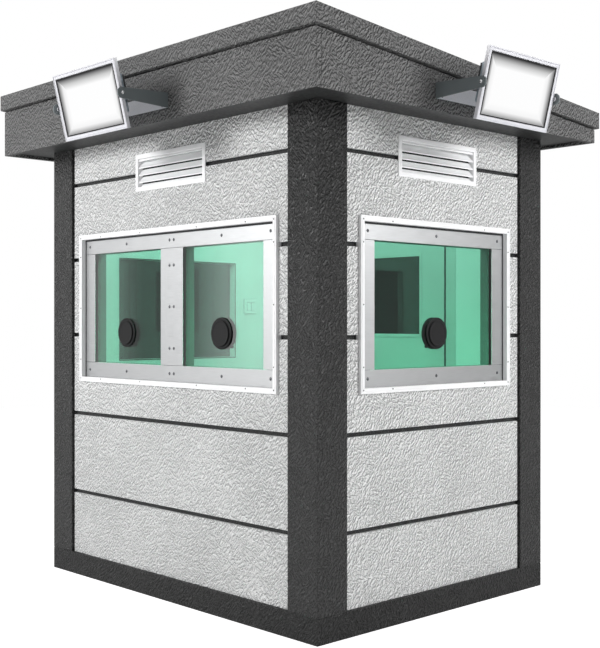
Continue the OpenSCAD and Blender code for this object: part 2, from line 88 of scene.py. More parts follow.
# Depths behind the post faces, as the frame has them
CORE = 0.027          # outer face of the wall core, where the clamp plates sit
GLASS_BACK = 0.057    # inner face of the glass
WALL_INSIDE = 0.100   # inside face of the wall
PANE_LAP = 0.0195     # glass hidden behind the clamp plates
RIM_WIDTH = 0.022     # window rim from its outer edge to the clamp plates


def linear(hex_colour, alpha=1.0):
    """Turns an sRGB hex colour into the linear one that shaders take."""
    digits = hex_colour.lstrip("#")
    parts = [int(digits[i:i + 2], 16) / 255 for i in (0, 2, 4)]
    return tuple(c / 12.92 if c <= 0.04045 else ((c + 0.055) / 1.055) ** 2.4
                 for c in parts) + (alpha,)


def colour(name, hex_colour, description):
    """A colour setting."""
    return FloatVectorProperty(name=name, description=description, subtype="COLOR",
                               size=4, min=0, max=1, default=linear(hex_colour))


def length(name, value, description):
    """A length setting in metres."""
    return FloatProperty(name=name, description=description, default=value, min=0,
                         unit="LENGTH", subtype="DISTANCE", precision=4)


class BoothColours(bpy.types.PropertyGroup):
    """Colours of the booth's finishes"""
    # Roof and posts share one charcoal coat: the roof colour is drawn paler as painted light and the posts' colour
    # darker as painted shade. The base is drawn near black, darker than the posts.
    roof: colour("Roof Coating", "#5c5c5c", "Charcoal coating of fascias and cap")
    posts: colour("Post Coating", "#2a2a2a", "Darker charcoal of the corner posts")
    base: colour("Base Coating", "#191919", "Near black coating of the base frame")
    soffit: colour("Soffit", "#2a2b2b", "Smooth paint under the eaves")
    panels: colour("Cladding", "#dbdcdc", "Light grey coating of the cladding boards")
    groove: colour("Groove", "#1d1e1e", "Primer that shows between the boards")
    lining: colour("Lining", "#e9ebea", "Inside wall lining")
    lamp_frame: colour("Lamp Frames", "#d7d7dc", "Cool white coat of the floodlights")
    # The reveal colour is painted shade on the reveals inside the windows
    reveal: colour("Window Reveal", "#6d7270", "Dark trim round the panes, inside")
    white: colour("White Coat", "#f1f1f2", "Powder coat of rims, vents and switch")
    plates: colour("Clamp Plates", "#adaeaf", "Satin aluminium of the clamp plates")
    glass: colour("Green Glass", "#8edfc1", "Tint of the armour glass")
    smoke: colour("Smoked Glass", "#15181a", "Tint of the smoked panes")
    black: colour("Black Plastic", "#101011", "Voice ports, seals and gaskets")
    steel: colour("Lamp Arms", "#6c7375", "Grey coat of the lamp arms")
    silver: colour("Silver Sheet", "#b9c6cf", "Galvanised sheet behind the lamps")
    door: colour("Door Paint", "#c6c9c8", "Satin paint of the door")
    rubber: colour("Floor Rubber", "#2b2c2e", "Studded floor covering")


class BoothSizes(bpy.types.PropertyGroup):
    """Sizes of the small parts and of the relief"""
    wrinkle_length: length("Wrinkle Length", 0.0180, "Length of a wrinkle in the coat")
    wrinkle_width: length("Wrinkle Width", 0.0085, "Width of a wrinkle in the coating")
    wrinkle_depth: length("Wrinkle Depth", 0.0065, "Height of the wrinkles")
    edge: length("Edge Radius", 0.0025, "Easing of the coated edges")
    fine_edge: length("Fine Edge Radius", 0.0007, "Easing of plate and glass edges")
    clamp_screw: length("Clamp Screw Radius", 0.0055, "Head radius of the clamp screws")
    rim_screw: length("Rim Screw Radius", 0.0026, "Head radius of the rim screws")
    stud_pitch: length("Stud Pitch", 0.030, "Spacing of the studs on the floor")
    fin_count: IntProperty(name="Cooling Fins", default=19, min=3, max=40,
                           description="Fins on the back of each floodlight")


class BoothLight(bpy.types.PropertyGroup):
    """Studio light round the booth"""
    dome: FloatProperty(name="Dome", description="Brightness of the soft dome",
                        default=0.25, min=0, max=5)
    key: FloatProperty(name="Key", description="Power of the large front lamp",
                       default=430.0, min=0, unit="POWER")
    fill: FloatProperty(name="Fill", description="Power of the lamp at the right",
                        default=310.0, min=0, unit="POWER")
    cabin: FloatProperty(name="Cabin", description="Power of the cabin light",
                         default=13.0, min=0, unit="POWER")


# ---- Node helpers ----

def add(tree, kind, inputs=None, **settings):
    """Adds a node, makes its settings, and joins or sets its inputs."""
    made = tree.nodes.new(kind)
    for name, value in settings.items():
        setattr(made, name, value)
    for name, value in (inputs or {}).items():
        if isinstance(value, bpy.types.NodeSocket):
            tree.links.new(value, made.inputs[name])
        else:
            made.inputs[name].default_value = value
    return made


def new_finish(name):
    """An empty node material and its tree."""
    made = bpy.data.materials.new(name)
    made.use_nodes = True
    made.node_tree.nodes.clear()
    return made, made.node_tree


def surfaced(made, inputs):
    """Ends a finish in one surface shader and returns it."""
    shader = add(made.node_tree, "ShaderNodeBsdfPrincipled", inputs)
    add(made.node_tree, "ShaderNodeOutputMaterial", {"Surface": shader.outputs[0]})
    return made


def blended(tree, factor, first, second):
    """A colour mix by a factor socket."""
    return add(tree, "ShaderNodeMix", {0: factor, 6: first, 7: second},
               data_type="RGBA").outputs[2]


def spread(tree, value, low, high, to_low=0.0, to_high=1.0, smooth=True):
    """Spreads a value between two limits."""
    return add(tree, "ShaderNodeMapRange",
               {"Value": value, "From Min": low, "From Max": high,
                "To Min": to_low, "To Max": to_high},
               interpolation_type="SMOOTHSTEP" if smooth else "LINEAR").outputs[0]


def reckoned(tree, operation, *values):
    """One step of arithmetic on sockets and numbers."""
    return add(tree, "ShaderNodeMath", dict(enumerate(values)),
               operation=operation).outputs[0]


def noise(tree, place, scale, detail=2.0, flat=False):
    """Noise with features about 1 / scale metres across."""
    return add(tree, "ShaderNodeTexNoise",
               {"Vector": place, "Scale": scale, "Detail": detail},
               noise_dimensions="2D" if flat else "3D").outputs[0]


def bumped(tree, height, depth, strength=1.0):
    """Relief as deep as given, in metres, from a height pattern."""
    return add(tree, "ShaderNodeBump", {"Height": height, "Distance": depth,
                                        "Strength": strength}).outputs[0]


def scaled(rgba, share):
    """A colour made brighter or darker, held below white."""
    return tuple(min(1.0, c * share) for c in rgba[:3]) + (1.0,)


def varied(tree, factor, rgba, shade):
    """A colour that a pattern makes darker and lighter by a share."""
    return blended(tree, factor, scaled(rgba, 1 - shade), scaled(rgba, 1 + shade))


def surface_map(tree):
    """The piece's own UV map, in metres."""
    return add(tree, "ShaderNodeUVMap", uv_map="metres").outputs[0]


def object_place(tree):
    """Place on the piece, in metres."""
    return add(tree, "ShaderNodeTexCoord").outputs["Object"]


# ---- Finishes ----

def strokes(tree, place, turn, long, wide):
    """Soft strokes of a real length and width in metres, lying at an angle."""
    laid = add(tree, "ShaderNodeMapping",
               {"Vector": place, "Rotation": (0, 0, math.radians(turn)),
                "Scale": (long, wide, 1)}, vector_type="TEXTURE")
    return add(tree, "ShaderNodeTexNoise",
               {"Vector": laid.outputs[0], "Scale": 1.0, "Detail": 1.2,
                "Roughness": 0.5, "Distortion": 0.35}, noise_dimensions="2D").outputs[0]


def creased(tree, place):
    """Height of the wrinkles: two ways of stroke that take turns over the sheet, in
    patches about 90 mm across."""
    sizes = bpy.context.scene.booth_sizes
    long, wide = sizes.wrinkle_length, sizes.wrinkle_width
    rising = strokes(tree, place, 50, long, wide)
    falling = strokes(tree, place, -42, long * 0.8, wide)
    patches = spread(tree, noise(tree, place, 11.0, 1.0, flat=True), 0.50, 0.62)
    both = add(tree, "ShaderNodeMix", {0: patches, 2: rising, 3: falling}).outputs[0]
    return spread(tree, both, 0.30, 0.70)


def wrinkle_coat(name, rgba, depth_share, shade, roughness, gloss=0.5):
    """Steel sheet with a rolled wrinkle coating: raised diagonal creases about two
    centimetres long. Their upper flanks are painted light and the lower ones painted
    shade, so each crease reads as a light and a dark line. The relief is drawn
    deeper and coarser than a real coat's, so that it reads at a distance."""
    sizes = bpy.context.scene.booth_sizes
    made, tree = new_finish(name)
    place = surface_map(tree)
    raised = creased(tree, place)
    below = add(tree, "ShaderNodeVectorMath",
                {0: place, 1: (0.0012, -sizes.wrinkle_width * 0.42, 0)}).outputs[0]
    # Painted light and shade: the crease height less its height a little lower down
    painted_flank_light = reckoned(tree, "SUBTRACT", raised, creased(tree, below))
    grit = noise(tree, place, 420.0, 1.0, flat=True)
    height = reckoned(tree, "MULTIPLY_ADD", grit, 0.10, raised)
    cloud = noise(tree, place, 2.6, flat=True)
    # Tone: random clouds plus the painted highlight and shade of the flanks
    tone = reckoned(tree, "MULTIPLY_ADD", cloud, 0.30, painted_flank_light)
    return surfaced(made, {
        "Base Color": varied(tree, spread(tree, tone, -0.26, 0.56, smooth=False), rgba,
                             shade),
        "Roughness": spread(tree, raised, 0.0, 1.0, roughness + 0.1, roughness - 0.06),
        "Normal": bumped(tree, height, sizes.wrinkle_depth * depth_share),
        "Specular IOR Level": gloss})


def smooth_coat(name, rgba, roughness, grain=0.004, depth=0.00003, shade=0.03,
                gloss=0.5):
    """Powder coat or moulded plastic: an even skin with a faint orange peel, grain
    metres across, and slow clouds about 0.2 m across."""
    made, tree = new_finish(name)
    place = object_place(tree)
    peel = noise(tree, place, 1 / grain)
    cloud = spread(tree, noise(tree, place, 5.0), 0.3, 0.7)
    return surfaced(made, {
        "Base Color": varied(tree, cloud, rgba, shade),
        "Roughness": spread(tree, peel, 0.3, 0.7, roughness - 0.04, roughness + 0.05),
        "Normal": bumped(tree, peel, depth), "Specular IOR Level": gloss})


def brushed_metal(name, rgba, roughness, grain=(0.06, 0.0012)):
    """Sheet metal brushed one way: fine lines along the grain and a soft sheen."""
    made, tree = new_finish(name)
    lines = strokes(tree, surface_map(tree), 0, *grain)
    return surfaced(made, {
        "Base Color": varied(tree, spread(tree, lines, 0.3, 0.7), rgba, 0.05),
        "Roughness": spread(tree, lines, 0.3, 0.7, roughness - 0.05, roughness + 0.06),
        "Metallic": 1.0, "Normal": bumped(tree, lines, 0.00004)})


def groove_primer(name, rgba):
    """Rough primer behind the boards: near black with paler specks of grit."""
    made, tree = new_finish(name)
    specks = noise(tree, object_place(tree), 190.0, 3.0)
    return surfaced(made, {
        "Base Color": blended(tree, spread(tree, specks, 0.45, 0.75),
                              scaled(rgba, 0.7), scaled(rgba, 5.5)),
        "Roughness": 0.85, "Normal": bumped(tree, specks, 0.0012)})


def laminated_glass(name, rgba):
    """Thick laminated glass: tinted, polished, with the faint waviness of its sheets.
    Lamps are let through unbent, so the cabin behind it is lit."""
    made, tree = new_finish(name)
    waves = noise(tree, object_place(tree), 3.0)
    pane = add(tree, "ShaderNodeBsdfPrincipled",
               {"Base Color": rgba, "Roughness": 0.0, "IOR": 1.5,
                "Transmission Weight": 1.0, "Coat Weight": 1.0, "Coat Roughness": 0.0,
                "Normal": bumped(tree, waves, 0.0004, 0.4)})
    through = add(tree, "ShaderNodeBsdfTransparent",
                  {"Color": tuple(math.sqrt(c) for c in rgba[:3]) + (1,)})
    rays = add(tree, "ShaderNodeLightPath").outputs
    both = add(tree, "ShaderNodeMixShader",
               {0: rays["Is Shadow Ray"], 1: pane.outputs[0], 2: through.outputs[0]})
    add(tree, "ShaderNodeOutputMaterial", {"Surface": both.outputs[0]})
    return made


def socket_steel(name):
    """Blackened steel screw with a paler domed head; its socket and a washer ring round it are black as painted
    shade.
    """
    made, tree = new_finish(name)
    hollow = add(tree, "ShaderNodeAttribute", attribute_name="hollow").outputs["Fac"]
    wear = noise(tree, object_place(tree), 900.0)
    head = blended(tree, wear, linear("#3c3d40"), linear("#77797d"))
    # Socket and washer ring drawn near black: painted shade
    return surfaced(made, {"Base Color": blended(tree, hollow, head, linear("#050505")),
                           "Roughness": spread(tree, hollow, 0, 1, 0.3, 0.9),
                           "Metallic": 0.6})


def lamp_glow(name):
    """Moulded white reflector behind its diffuser, drawn dark and made to glow: the glow is
    the lamp's own light with studio light on the white tray painted in. The piece's "lit"
    attribute paints shade on the tray, darkest at the top rim as painted shadow of the frame."""
    made, tree = new_finish(name)
    lit = add(tree, "ShaderNodeAttribute", attribute_name="lit").outputs["Fac"]
    frost = noise(tree, object_place(tree), 260.0)
    return surfaced(made, {
        "Base Color": linear("#1c1c1e"), "Roughness": 0.7, "Specular IOR Level": 0.15,
        "Normal": bumped(tree, frost, 0.0001),
        # Emission: the lamp's glow, with painted light and shade from the lit attribute
        "Emission Color": blended(tree, lit, linear("#000000"), linear("#ffffff")),
        "Emission Strength": 0.95})


FINISHES = {}


def finish(name):
    """The named finish, made the first time it is asked for."""
    if name not in FINISHES:
        FINISHES[name] = finish_makers()[name](name)
    return FINISHES[name]


def finish_makers():
    """Every finish of the booth by name, each with what it gives the eye."""
    c = bpy.context.scene.booth_colours
    return {
        # Rolled coats with painted highlight and shade on the creases: charcoal roof drawn
        # paler as painted light, posts darker as painted shade, base near black, boards light grey
        "roof_wrinkle_coat": lambda n: wrinkle_coat(n, c.roof, 0.9, 0.85, 0.52, 0.4),
        "post_wrinkle_coat": lambda n: wrinkle_coat(n, c.posts, 1.7, 0.95, 0.40, 0.45),
        "base_wrinkle_coat": lambda n: wrinkle_coat(n, c.base, 1.7, 0.95, 0.42, 0.40),
        "panel_wrinkle_coat": lambda n: wrinkle_coat(n, c.panels, 1.25, 0.44, 0.6),
        # Brushed paint on flat sheet: soft, slightly uneven and dark
        "soffit_paint": lambda n: smooth_coat(n, c.soffit, 0.5, 0.012, 0.0001, 0.08),
        # Sprayed primer: the gritty black lines between the boards
        "groove_primer": lambda n: groove_primer(n, c.groove),
        # Washable wall board: clean, pale and faintly dimpled
        "lining_board": lambda n: smooth_coat(n, c.lining, 0.45, 0.010),
        # Baked powder coats: fine orange peel with a soft gloss
        "white_powder_coat": lambda n: smooth_coat(n, c.white, 0.32),
        "lamp_frame_coat": lambda n: smooth_coat(n, c.lamp_frame, 0.3),
        "arm_coat": lambda n: smooth_coat(n, c.steel, 0.36),
        "door_powder_coat": lambda n: smooth_coat(n, c.door, 0.35, 0.006),
        # Window reveals drawn dark grey and matt: painted shade inside the openings
        "reveal_trim": lambda n: smooth_coat(n, c.reveal, 0.5),
        # Satin sheet: fine level lines that catch the light
        "clamp_plate_aluminium": lambda n: brushed_metal(n, c.plates, 0.42),
        "brushed_stainless": lambda n: brushed_metal(n, linear("#c9cacb"), 0.25),
        # Zinc coat: small cool spangles instead of lines
        "galvanised_sheet": lambda n: brushed_metal(n, c.silver, 0.35, (0.012, 0.009)),
        # Laminated panes: sea green, and smoke grey
        "armour_glass": lambda n: laminated_glass(n, tuple(c.glass)),
        "smoked_pane_glass": lambda n: laminated_glass(n, tuple(c.smoke)),
        # Matt mouldings: a tight grain, hardly any mirror image
        "moulded_black_plastic": lambda n: smooth_coat(n, c.black, 0.6, 0.003, 0.00002,
                                                       0.1, 0.2),
        "black_rubber": lambda n: smooth_coat(n, c.rubber, 0.75, 0.005, 0.0001, 0.15),
        "fin_black": lambda n: smooth_coat(n, linear("#2a2c2e"), 0.5, 0.003, 0.00003,
                                           0.1),
        "socket_steel": socket_steel,
        "lamp_glow": lamp_glow,
    }


# ---- Mesh helpers ----

def box_map(bm):
    """Writes a UV map in metres, seen square on to the way each face looks."""
    layer = bm.loops.layers.uv.get("metres") or bm.loops.layers.uv.new("metres")
    for face in bm.faces:
        n = face.normal
        axis = max(range(3), key=lambda i: abs(n[i]))
        a, b = ((1, 2), (0, 2), (0, 1))[axis]
        for loop in face.loops:
            p = loop.vert.co
            loop[layer].uv = (p[a] + 3.1 * axis, p[b] + 1.7 * axis)


def piece(name, bm, finishes, body, slot=None, stands_for=(), pick=None, place=None,
          outward=True, smooth=12):
    """Makes a finished piece of a bmesh, puts it in place and has it ride on a body."""
    if pick:
        for face in bm.faces:
            face.material_index = pick(face.calc_center_median(), face)
    if place is not None:
        bmesh.ops.transform(bm, matrix=place, verts=bm.verts)
    if outward:
        bmesh.ops.recalc_face_normals(bm, faces=bm.faces)
    bm.normal_update()
    box_map(bm)
    mesh = bpy.data.meshes.new(name)
    bm.to_mesh(mesh)
    bm.free()
    for one in finishes:
        mesh.materials.append(finish(one))
    mesh.shade_smooth()
    mesh.set_sharp_from_angle(angle=math.radians(smooth))
    made = bpy.data.objects.new(name, mesh)
    bpy.context.scene.collection.objects.link(made)
    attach(made, body)
    if stands_for:
        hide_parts(*stands_for)
    return made


def stand_in(node, name, bm, finishes, **more):
    """A piece that stands for a frame node and rides on the node's own body."""
    return piece(name, bm, finishes, BODY_OF[node], SLOT_OF[node], (node,), **more)


def eased(node, ease):
    """A copy of a frame node, merged, with its sharp edges eased."""
    bm = bmesh.new()
    bm.from_mesh(frame["nodes"][node].data)
    bmesh.ops.remove_doubles(bm, verts=bm.verts, dist=1e-5)
    bmesh.ops.dissolve_limit(bm, angle_limit=math.radians(0.5), verts=bm.verts,
                             edges=bm.edges)
    sharp = [e for e in bm.edges
             if len(e.link_faces) == 2 and e.calc_face_angle(0) > math.radians(25)]
    bmesh.ops.bevel(bm, geom=sharp, offset=ease, offset_type="OFFSET", segments=2,
                    profile=0.5, affect="EDGES", clamp_overlap=True)
    return bm


def eased_piece(node, finishes, ease, pick=None):
    """The node's own eased copy as a piece that stands for it."""
    return stand_in(node, node + "_finished", eased(node, ease), finishes, pick=pick)


def joined(*parts):
    """Several bmeshes as one."""
    whole = bmesh.new()
    for bm in parts:
        scratch = bpy.data.meshes.new("scratch")
        bm.to_mesh(scratch)
        bm.free()
        whole.from_mesh(scratch)
        bpy.data.meshes.remove(scratch)
    return whole


def moved(bm, matrix):
    """The same bmesh, moved."""
    bmesh.ops.transform(bm, matrix=matrix, verts=bm.verts)
    return bm


def coated(bm, material):
    """Gives every face of a bmesh the same material index."""
    for face in bm.faces:
        face.material_index = material
    return bm


def skinned(rows, closed=False, material=0):
    """A skin over rows of points, each row a loop joined to the next one. Closed, the
    last row is joined to the first; otherwise both ends are capped."""
    bm = bmesh.new()
    rows = [[bm.verts.new(p) for p in row] for row in rows]
    for low, high in zip(rows, rows[1:] + rows[:1] if closed else rows[1:]):
        for k in range(len(low)):
            after = (k + 1) % len(low)
            bm.faces.new((low[k], low[after], high[after], high[k]))
    if not closed:
        bm.faces.new(rows[0])
        bm.faces.new(rows[-1])
    return coated(bm, material)


def rectangle(outline, inset, y):
    """Corners of an upright rectangle (x low, x high, z low, z high), drawn in."""
    x0, x1, z0, z1 = outline
    return [(x0 + inset, y, z0 + inset), (x1 - inset, y, z0 + inset),
            (x1 - inset, y, z1 - inset), (x0 + inset, y, z1 - inset)]


def rect_shell(outline, sections, ring=True, material=0):
    """Sweeps a profile of (inset, depth) round a rectangle with mitred corners. A ring
    is closed on itself; otherwise the first and last sections are capped."""
    return skinned([rectangle(outline, i, y) for i, y in sections], ring, material)


def slab(x0, x1, y0, y1, z0, z1, ease=0.0007, material=0):
    """A plate with eased edges all round."""
    return rect_shell((x0, x1, z0, z1),
                      [(ease, y0), (0, y0 + ease), (0, y1 - ease), (ease, y1)],
                      ring=False, material=material)


def surround(outer, inner, y0, y1, ease=0.001):
    """A flat frame between two rectangles, eased at all its edges."""
    return skinned([rectangle(*row) for row in (
        (outer, 0, y0 + ease), (outer, ease, y0), (inner, -ease, y0),
        (inner, 0, y0 + ease), (inner, 0, y1 - ease), (inner, -ease, y1),
        (outer, ease, y1), (outer, 0, y1 - ease))], closed=True)


def grow(outline, by):
    """A rectangle made larger on all four sides."""
    x0, x1, z0, z1 = outline
    return x0 - by, x1 + by, z0 - by, z1 + by


def lathe(profile, steps=48):
    """Turns a profile of (radius, height) round Z. Ends on the axis are closed."""
    bm = bmesh.new()
    rows = []
    for radius, z in profile:
        count = 1 if radius < 1e-7 else steps
        turns = [2 * math.pi * k / steps for k in range(count)]
        rows.append([bm.verts.new((radius * math.cos(a), radius * math.sin(a), z))
                     for a in turns])
    for low, high in zip(rows, rows[1:]):
        for k in range(steps):
            after = (k + 1) % steps
            if len(low) == 1 and len(high) > 1:
                bm.faces.new((low[0], high[after], high[k]))
            elif len(high) == 1 and len(low) > 1:
                bm.faces.new((low[k], low[after], high[0]))
            elif len(low) > 1:
                bm.faces.new((low[k], low[after], high[after], high[k]))
    return bm


def prism(profile, x0, x1):
    """A straight bar along X from a closed profile of (depth, height)."""
    return skinned([[(x, y, z) for y, z in profile] for x in (x0, x1)])


# ---- Geometry Nodes trees ----

def tree_with(name, wanted, build):
    """The geometry tree of that name, built the first time with the named inputs. What
    build returns is realized, coated with the input Finish and sent out."""
    if name in bpy.data.node_groups:
        return bpy.data.node_groups[name]
    tree = bpy.data.node_groups.new(name, "GeometryNodeTree")
    sockets = (("Geometry", "Geometry"),) + wanted + (("Finish", "Material"),)
    for label, kind in sockets:
        tree.interface.new_socket(name=label, in_out="INPUT",
                                  socket_type="NodeSocket" + kind)
    tree.interface.new_socket(name="Geometry", in_out="OUTPUT",
                              socket_type="NodeSocketGeometry")
    given = tree.nodes.new("NodeGroupInput").outputs
    real = add(tree, "GeometryNodeRealizeInstances", {0: build(tree, given)})
    done = add(tree, "GeometryNodeSetMaterial",
               {0: real.outputs[0], 2: given["Finish"]})
    add(tree, "NodeGroupOutput", {0: done.outputs[0]})
    return tree


def repeat_tree(tree, given):
    """Repeats the input mesh over a grid of two counts and two steps."""
    made = given["Geometry"]
    for count, step in (("Columns", "Column Step"), ("Rows", "Row Step")):
        line = add(tree, "GeometryNodeMeshLine",
                   {"Count": given[count], "Offset": given[step]}, mode="OFFSET")
        made = add(tree, "GeometryNodeInstanceOnPoints",
                   {"Points": line.outputs[0], "Instance": made}).outputs[0]
    return made


def screw_tree(tree, given):
    """A domed socket screw on each point, turned to the point's facing vector."""
    def share(socket, part):
        return reckoned(tree, "MULTIPLY", given[socket], part)

    def disc(bottom, top, tall, lift, sides, hollow):
        cone = add(tree, "GeometryNodeMeshCone",
                   {"Vertices": sides, "Radius Bottom": share("Head Radius", bottom),
                    "Radius Top": share("Head Radius", top),
                    "Depth": share("Head Height", tall)})
        lifted = add(tree, "ShaderNodeCombineXYZ", {2: share("Head Height", lift)})
        placed = add(tree, "GeometryNodeTransform",
                     {"Geometry": cone.outputs[0], "Translation": lifted.outputs[0]})
        return add(tree, "GeometryNodeStoreNamedAttribute",
                   {"Geometry": placed.outputs[0], "Name": "hollow", "Value": hollow},
                   data_type="FLOAT", domain="POINT").outputs[0]

    # Washer, head, dome and hexagon socket, as shares of the head's radius and height; the
    # washer ring and the socket are black as painted shade
    parts = [disc(1.22, 1.18, 0.12, 0.0, 16, 1.0), disc(1.0, 0.93, 0.55, 0.0, 16, 0.0),
             disc(0.93, 0.62, 0.45, 0.55, 16, 0.0), disc(0.46, 0.46, 0.02, 1.0, 6, 1.0)]
    head = add(tree, "GeometryNodeJoinGeometry")
    for part in parts:
        tree.links.new(part, head.inputs[0])
    facing = add(tree, "GeometryNodeInputNamedAttribute", {0: "facing"},
                 data_type="FLOAT_VECTOR")
    turn = add(tree, "FunctionNodeAlignRotationToVector",
               {"Vector": facing.outputs[0]}, axis="Z")
    return add(tree, "GeometryNodeInstanceOnPoints",
               {"Points": given["Geometry"], "Instance": head.outputs[0],
                "Rotation": turn.outputs[0]}).outputs[0]


def grown(source, tree, values):
    """Runs a geometry tree on a mesh and returns the result as a bmesh."""
    seed = bpy.data.objects.new("seed", source)
    bpy.context.scene.collection.objects.link(seed)
    modifier = seed.modifiers.new("grow", "NODES")
    modifier.node_group = tree
    for socket in tree.interface.items_tree:
        if socket.in_out == "INPUT" and socket.name in values:
            modifier[socket.identifier] = values[socket.name]
    ready = seed.evaluated_get(bpy.context.evaluated_depsgraph_get())
    mesh = bpy.data.meshes.new_from_object(ready)
    bm = bmesh.new()
    bm.from_mesh(mesh)
    bpy.data.objects.remove(seed)
    bpy.data.meshes.remove(mesh)
    bpy.data.meshes.remove(source)
    return coated(bm, 0)


def repeated(bm, columns, step, finish_name, rows=1, row_step=(0, 0, 0)):
    """A bmesh repeated over a grid."""
    source = bpy.data.meshes.new("source")
    bm.to_mesh(source)
    bm.free()
    tree = tree_with("booth_repeat", (("Columns", "Int"), ("Rows", "Int"),
                                      ("Column Step", "Vector"),
                                      ("Row Step", "Vector")), repeat_tree)
    return grown(source, tree, {"Columns": columns, "Rows": rows, "Column Step": step,
                                "Row Step": row_step, "Finish": finish(finish_name)})


def screws(name, body, spots, radius, height):
    """Screw heads at (place, facing) pairs given in the row frame."""
    mesh = bpy.data.meshes.new("spots")
    mesh.from_pydata([tuple(p) for p, n in spots], [], [])
    facing = mesh.attributes.new("facing", "FLOAT_VECTOR", "POINT")
    facing.data.foreach_set("vector", [c for p, n in spots for c in n])
    tree = tree_with("booth_screws", (("Head Radius", "Float"),
                                      ("Head Height", "Float")), screw_tree)
    bm = grown(mesh, tree, {"Head Radius": radius, "Head Height": height,
                            "Finish": finish("socket_steel")})
    return piece(name, bm, ["socket_steel"], body, outward=False, smooth=40)


def on_wall(wall, x, y, z):
    """A place on a wall with the way the wall faces."""
    matrix = WALLS[wall]
    return matrix @ Vector((x, y, z)), matrix.to_3x3() @ Vector((0, -1, 0))


def span(wall, node):
    """Half the width of a node along its wall, and its lowest and highest Z."""
    low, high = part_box(node)
    along = 0 if wall == "front" else 1
    return (high[along] - low[along]) / 2, low.z, high.z


def cut(bm, place, normal, **more):
    """Cuts a bmesh by a plane."""
    bmesh.ops.bisect_plane(bm, geom=bm.verts[:] + bm.edges[:] + bm.faces[:],
                           plane_co=place, plane_no=normal, **more)


# ---- Operators ----

class BOOTH_OT_walls(bpy.types.Operator):
    """Wall cores and the cladding boards with open grooves between them"""
    bl_idname = "booth.walls"
    bl_label = "Walls and Cladding"
    bl_options = {"REGISTER", "UNDO"}

    def execute(self, context):
        sizes = context.scene.booth_sizes
        rear = ["rear_wall_left", "rear_wall_right", "rear_wall_head"]
        for wall in ("front", "right", "left", "rear"):
            inward = WALLS[wall].inverted()
            # Front and right reveals take the painted shade finish, the left's take the lining
            reveal = 2 if wall in ("front", "right") else 1
            for node in rear if wall == "rear" else [wall + "_wall"]:
                eased_piece(node, ["groove_primer", "lining_board", "reveal_trim"],
                            sizes.fine_edge, lambda c, f, m=inward, r=reveal:
                            self.finish_of((m @ c).y, m.to_3x3() @ f.normal, r))
            eased_piece(wall + "_cladding", ["panel_wrinkle_coat"], sizes.edge * 0.8)
        return {"FINISHED"}

    def finish_of(self, depth, normal, reveal):
        """Primer outside the glass, painted shade on the window's reveals, lining inside."""
        if depth < GLASS_BACK - 0.001:
            return 0
        return reveal if abs(normal.y) < 0.5 and depth < WALL_INSIDE - 0.002 else 1


class BOOTH_OT_posts(bpy.types.Operator):
    """Corner posts and the base frame"""
    bl_idname = "booth.posts"
    bl_label = "Posts and Base"
    bl_options = {"REGISTER", "UNDO"}

    def execute(self, context):
        edge = context.scene.booth_sizes.edge
        for corner in ("front_left", "front_right", "rear_left", "rear_right"):
            eased_piece("post_" + corner, ["post_wrinkle_coat"], edge)
        eased_piece("base_frame", ["base_wrinkle_coat"], edge)
        return {"FINISHED"}


class BOOTH_OT_roof(bpy.types.Operator):
    """Fascias, cap, soffit and inside ceiling"""
    bl_idname = "booth.roof"
    bl_label = "Roof"
    bl_options = {"REGISTER", "UNDO"}

    def execute(self, context):
        sizes = context.scene.booth_sizes
        for side in ("front", "rear", "left", "right"):
            eased_piece("fascia_" + side, ["roof_wrinkle_coat", "soffit_paint"],
                        sizes.edge, lambda c, f: int(f.normal.z < -0.5))
        eased_piece("roof_cap", ["roof_wrinkle_coat"], sizes.edge)
        bm = eased("ceiling", sizes.fine_edge)
        half_x, half_y = BASE_HIGH.x - WALL_INSIDE, BASE_HIGH.y - WALL_INSIDE
        for side in (1, -1):
            cut(bm, (side * half_x, 0, 0), (1, 0, 0))
        for side in (1, -1):
            cut(bm, (0, side * half_y, 0), (0, 1, 0))
        stand_in("ceiling", "ceiling_finished", bm, ["soffit_paint", "lining_board"],
                 pick=lambda c, f: int(abs(c.x) < half_x and abs(c.y) < half_y))
        return {"FINISHED"}


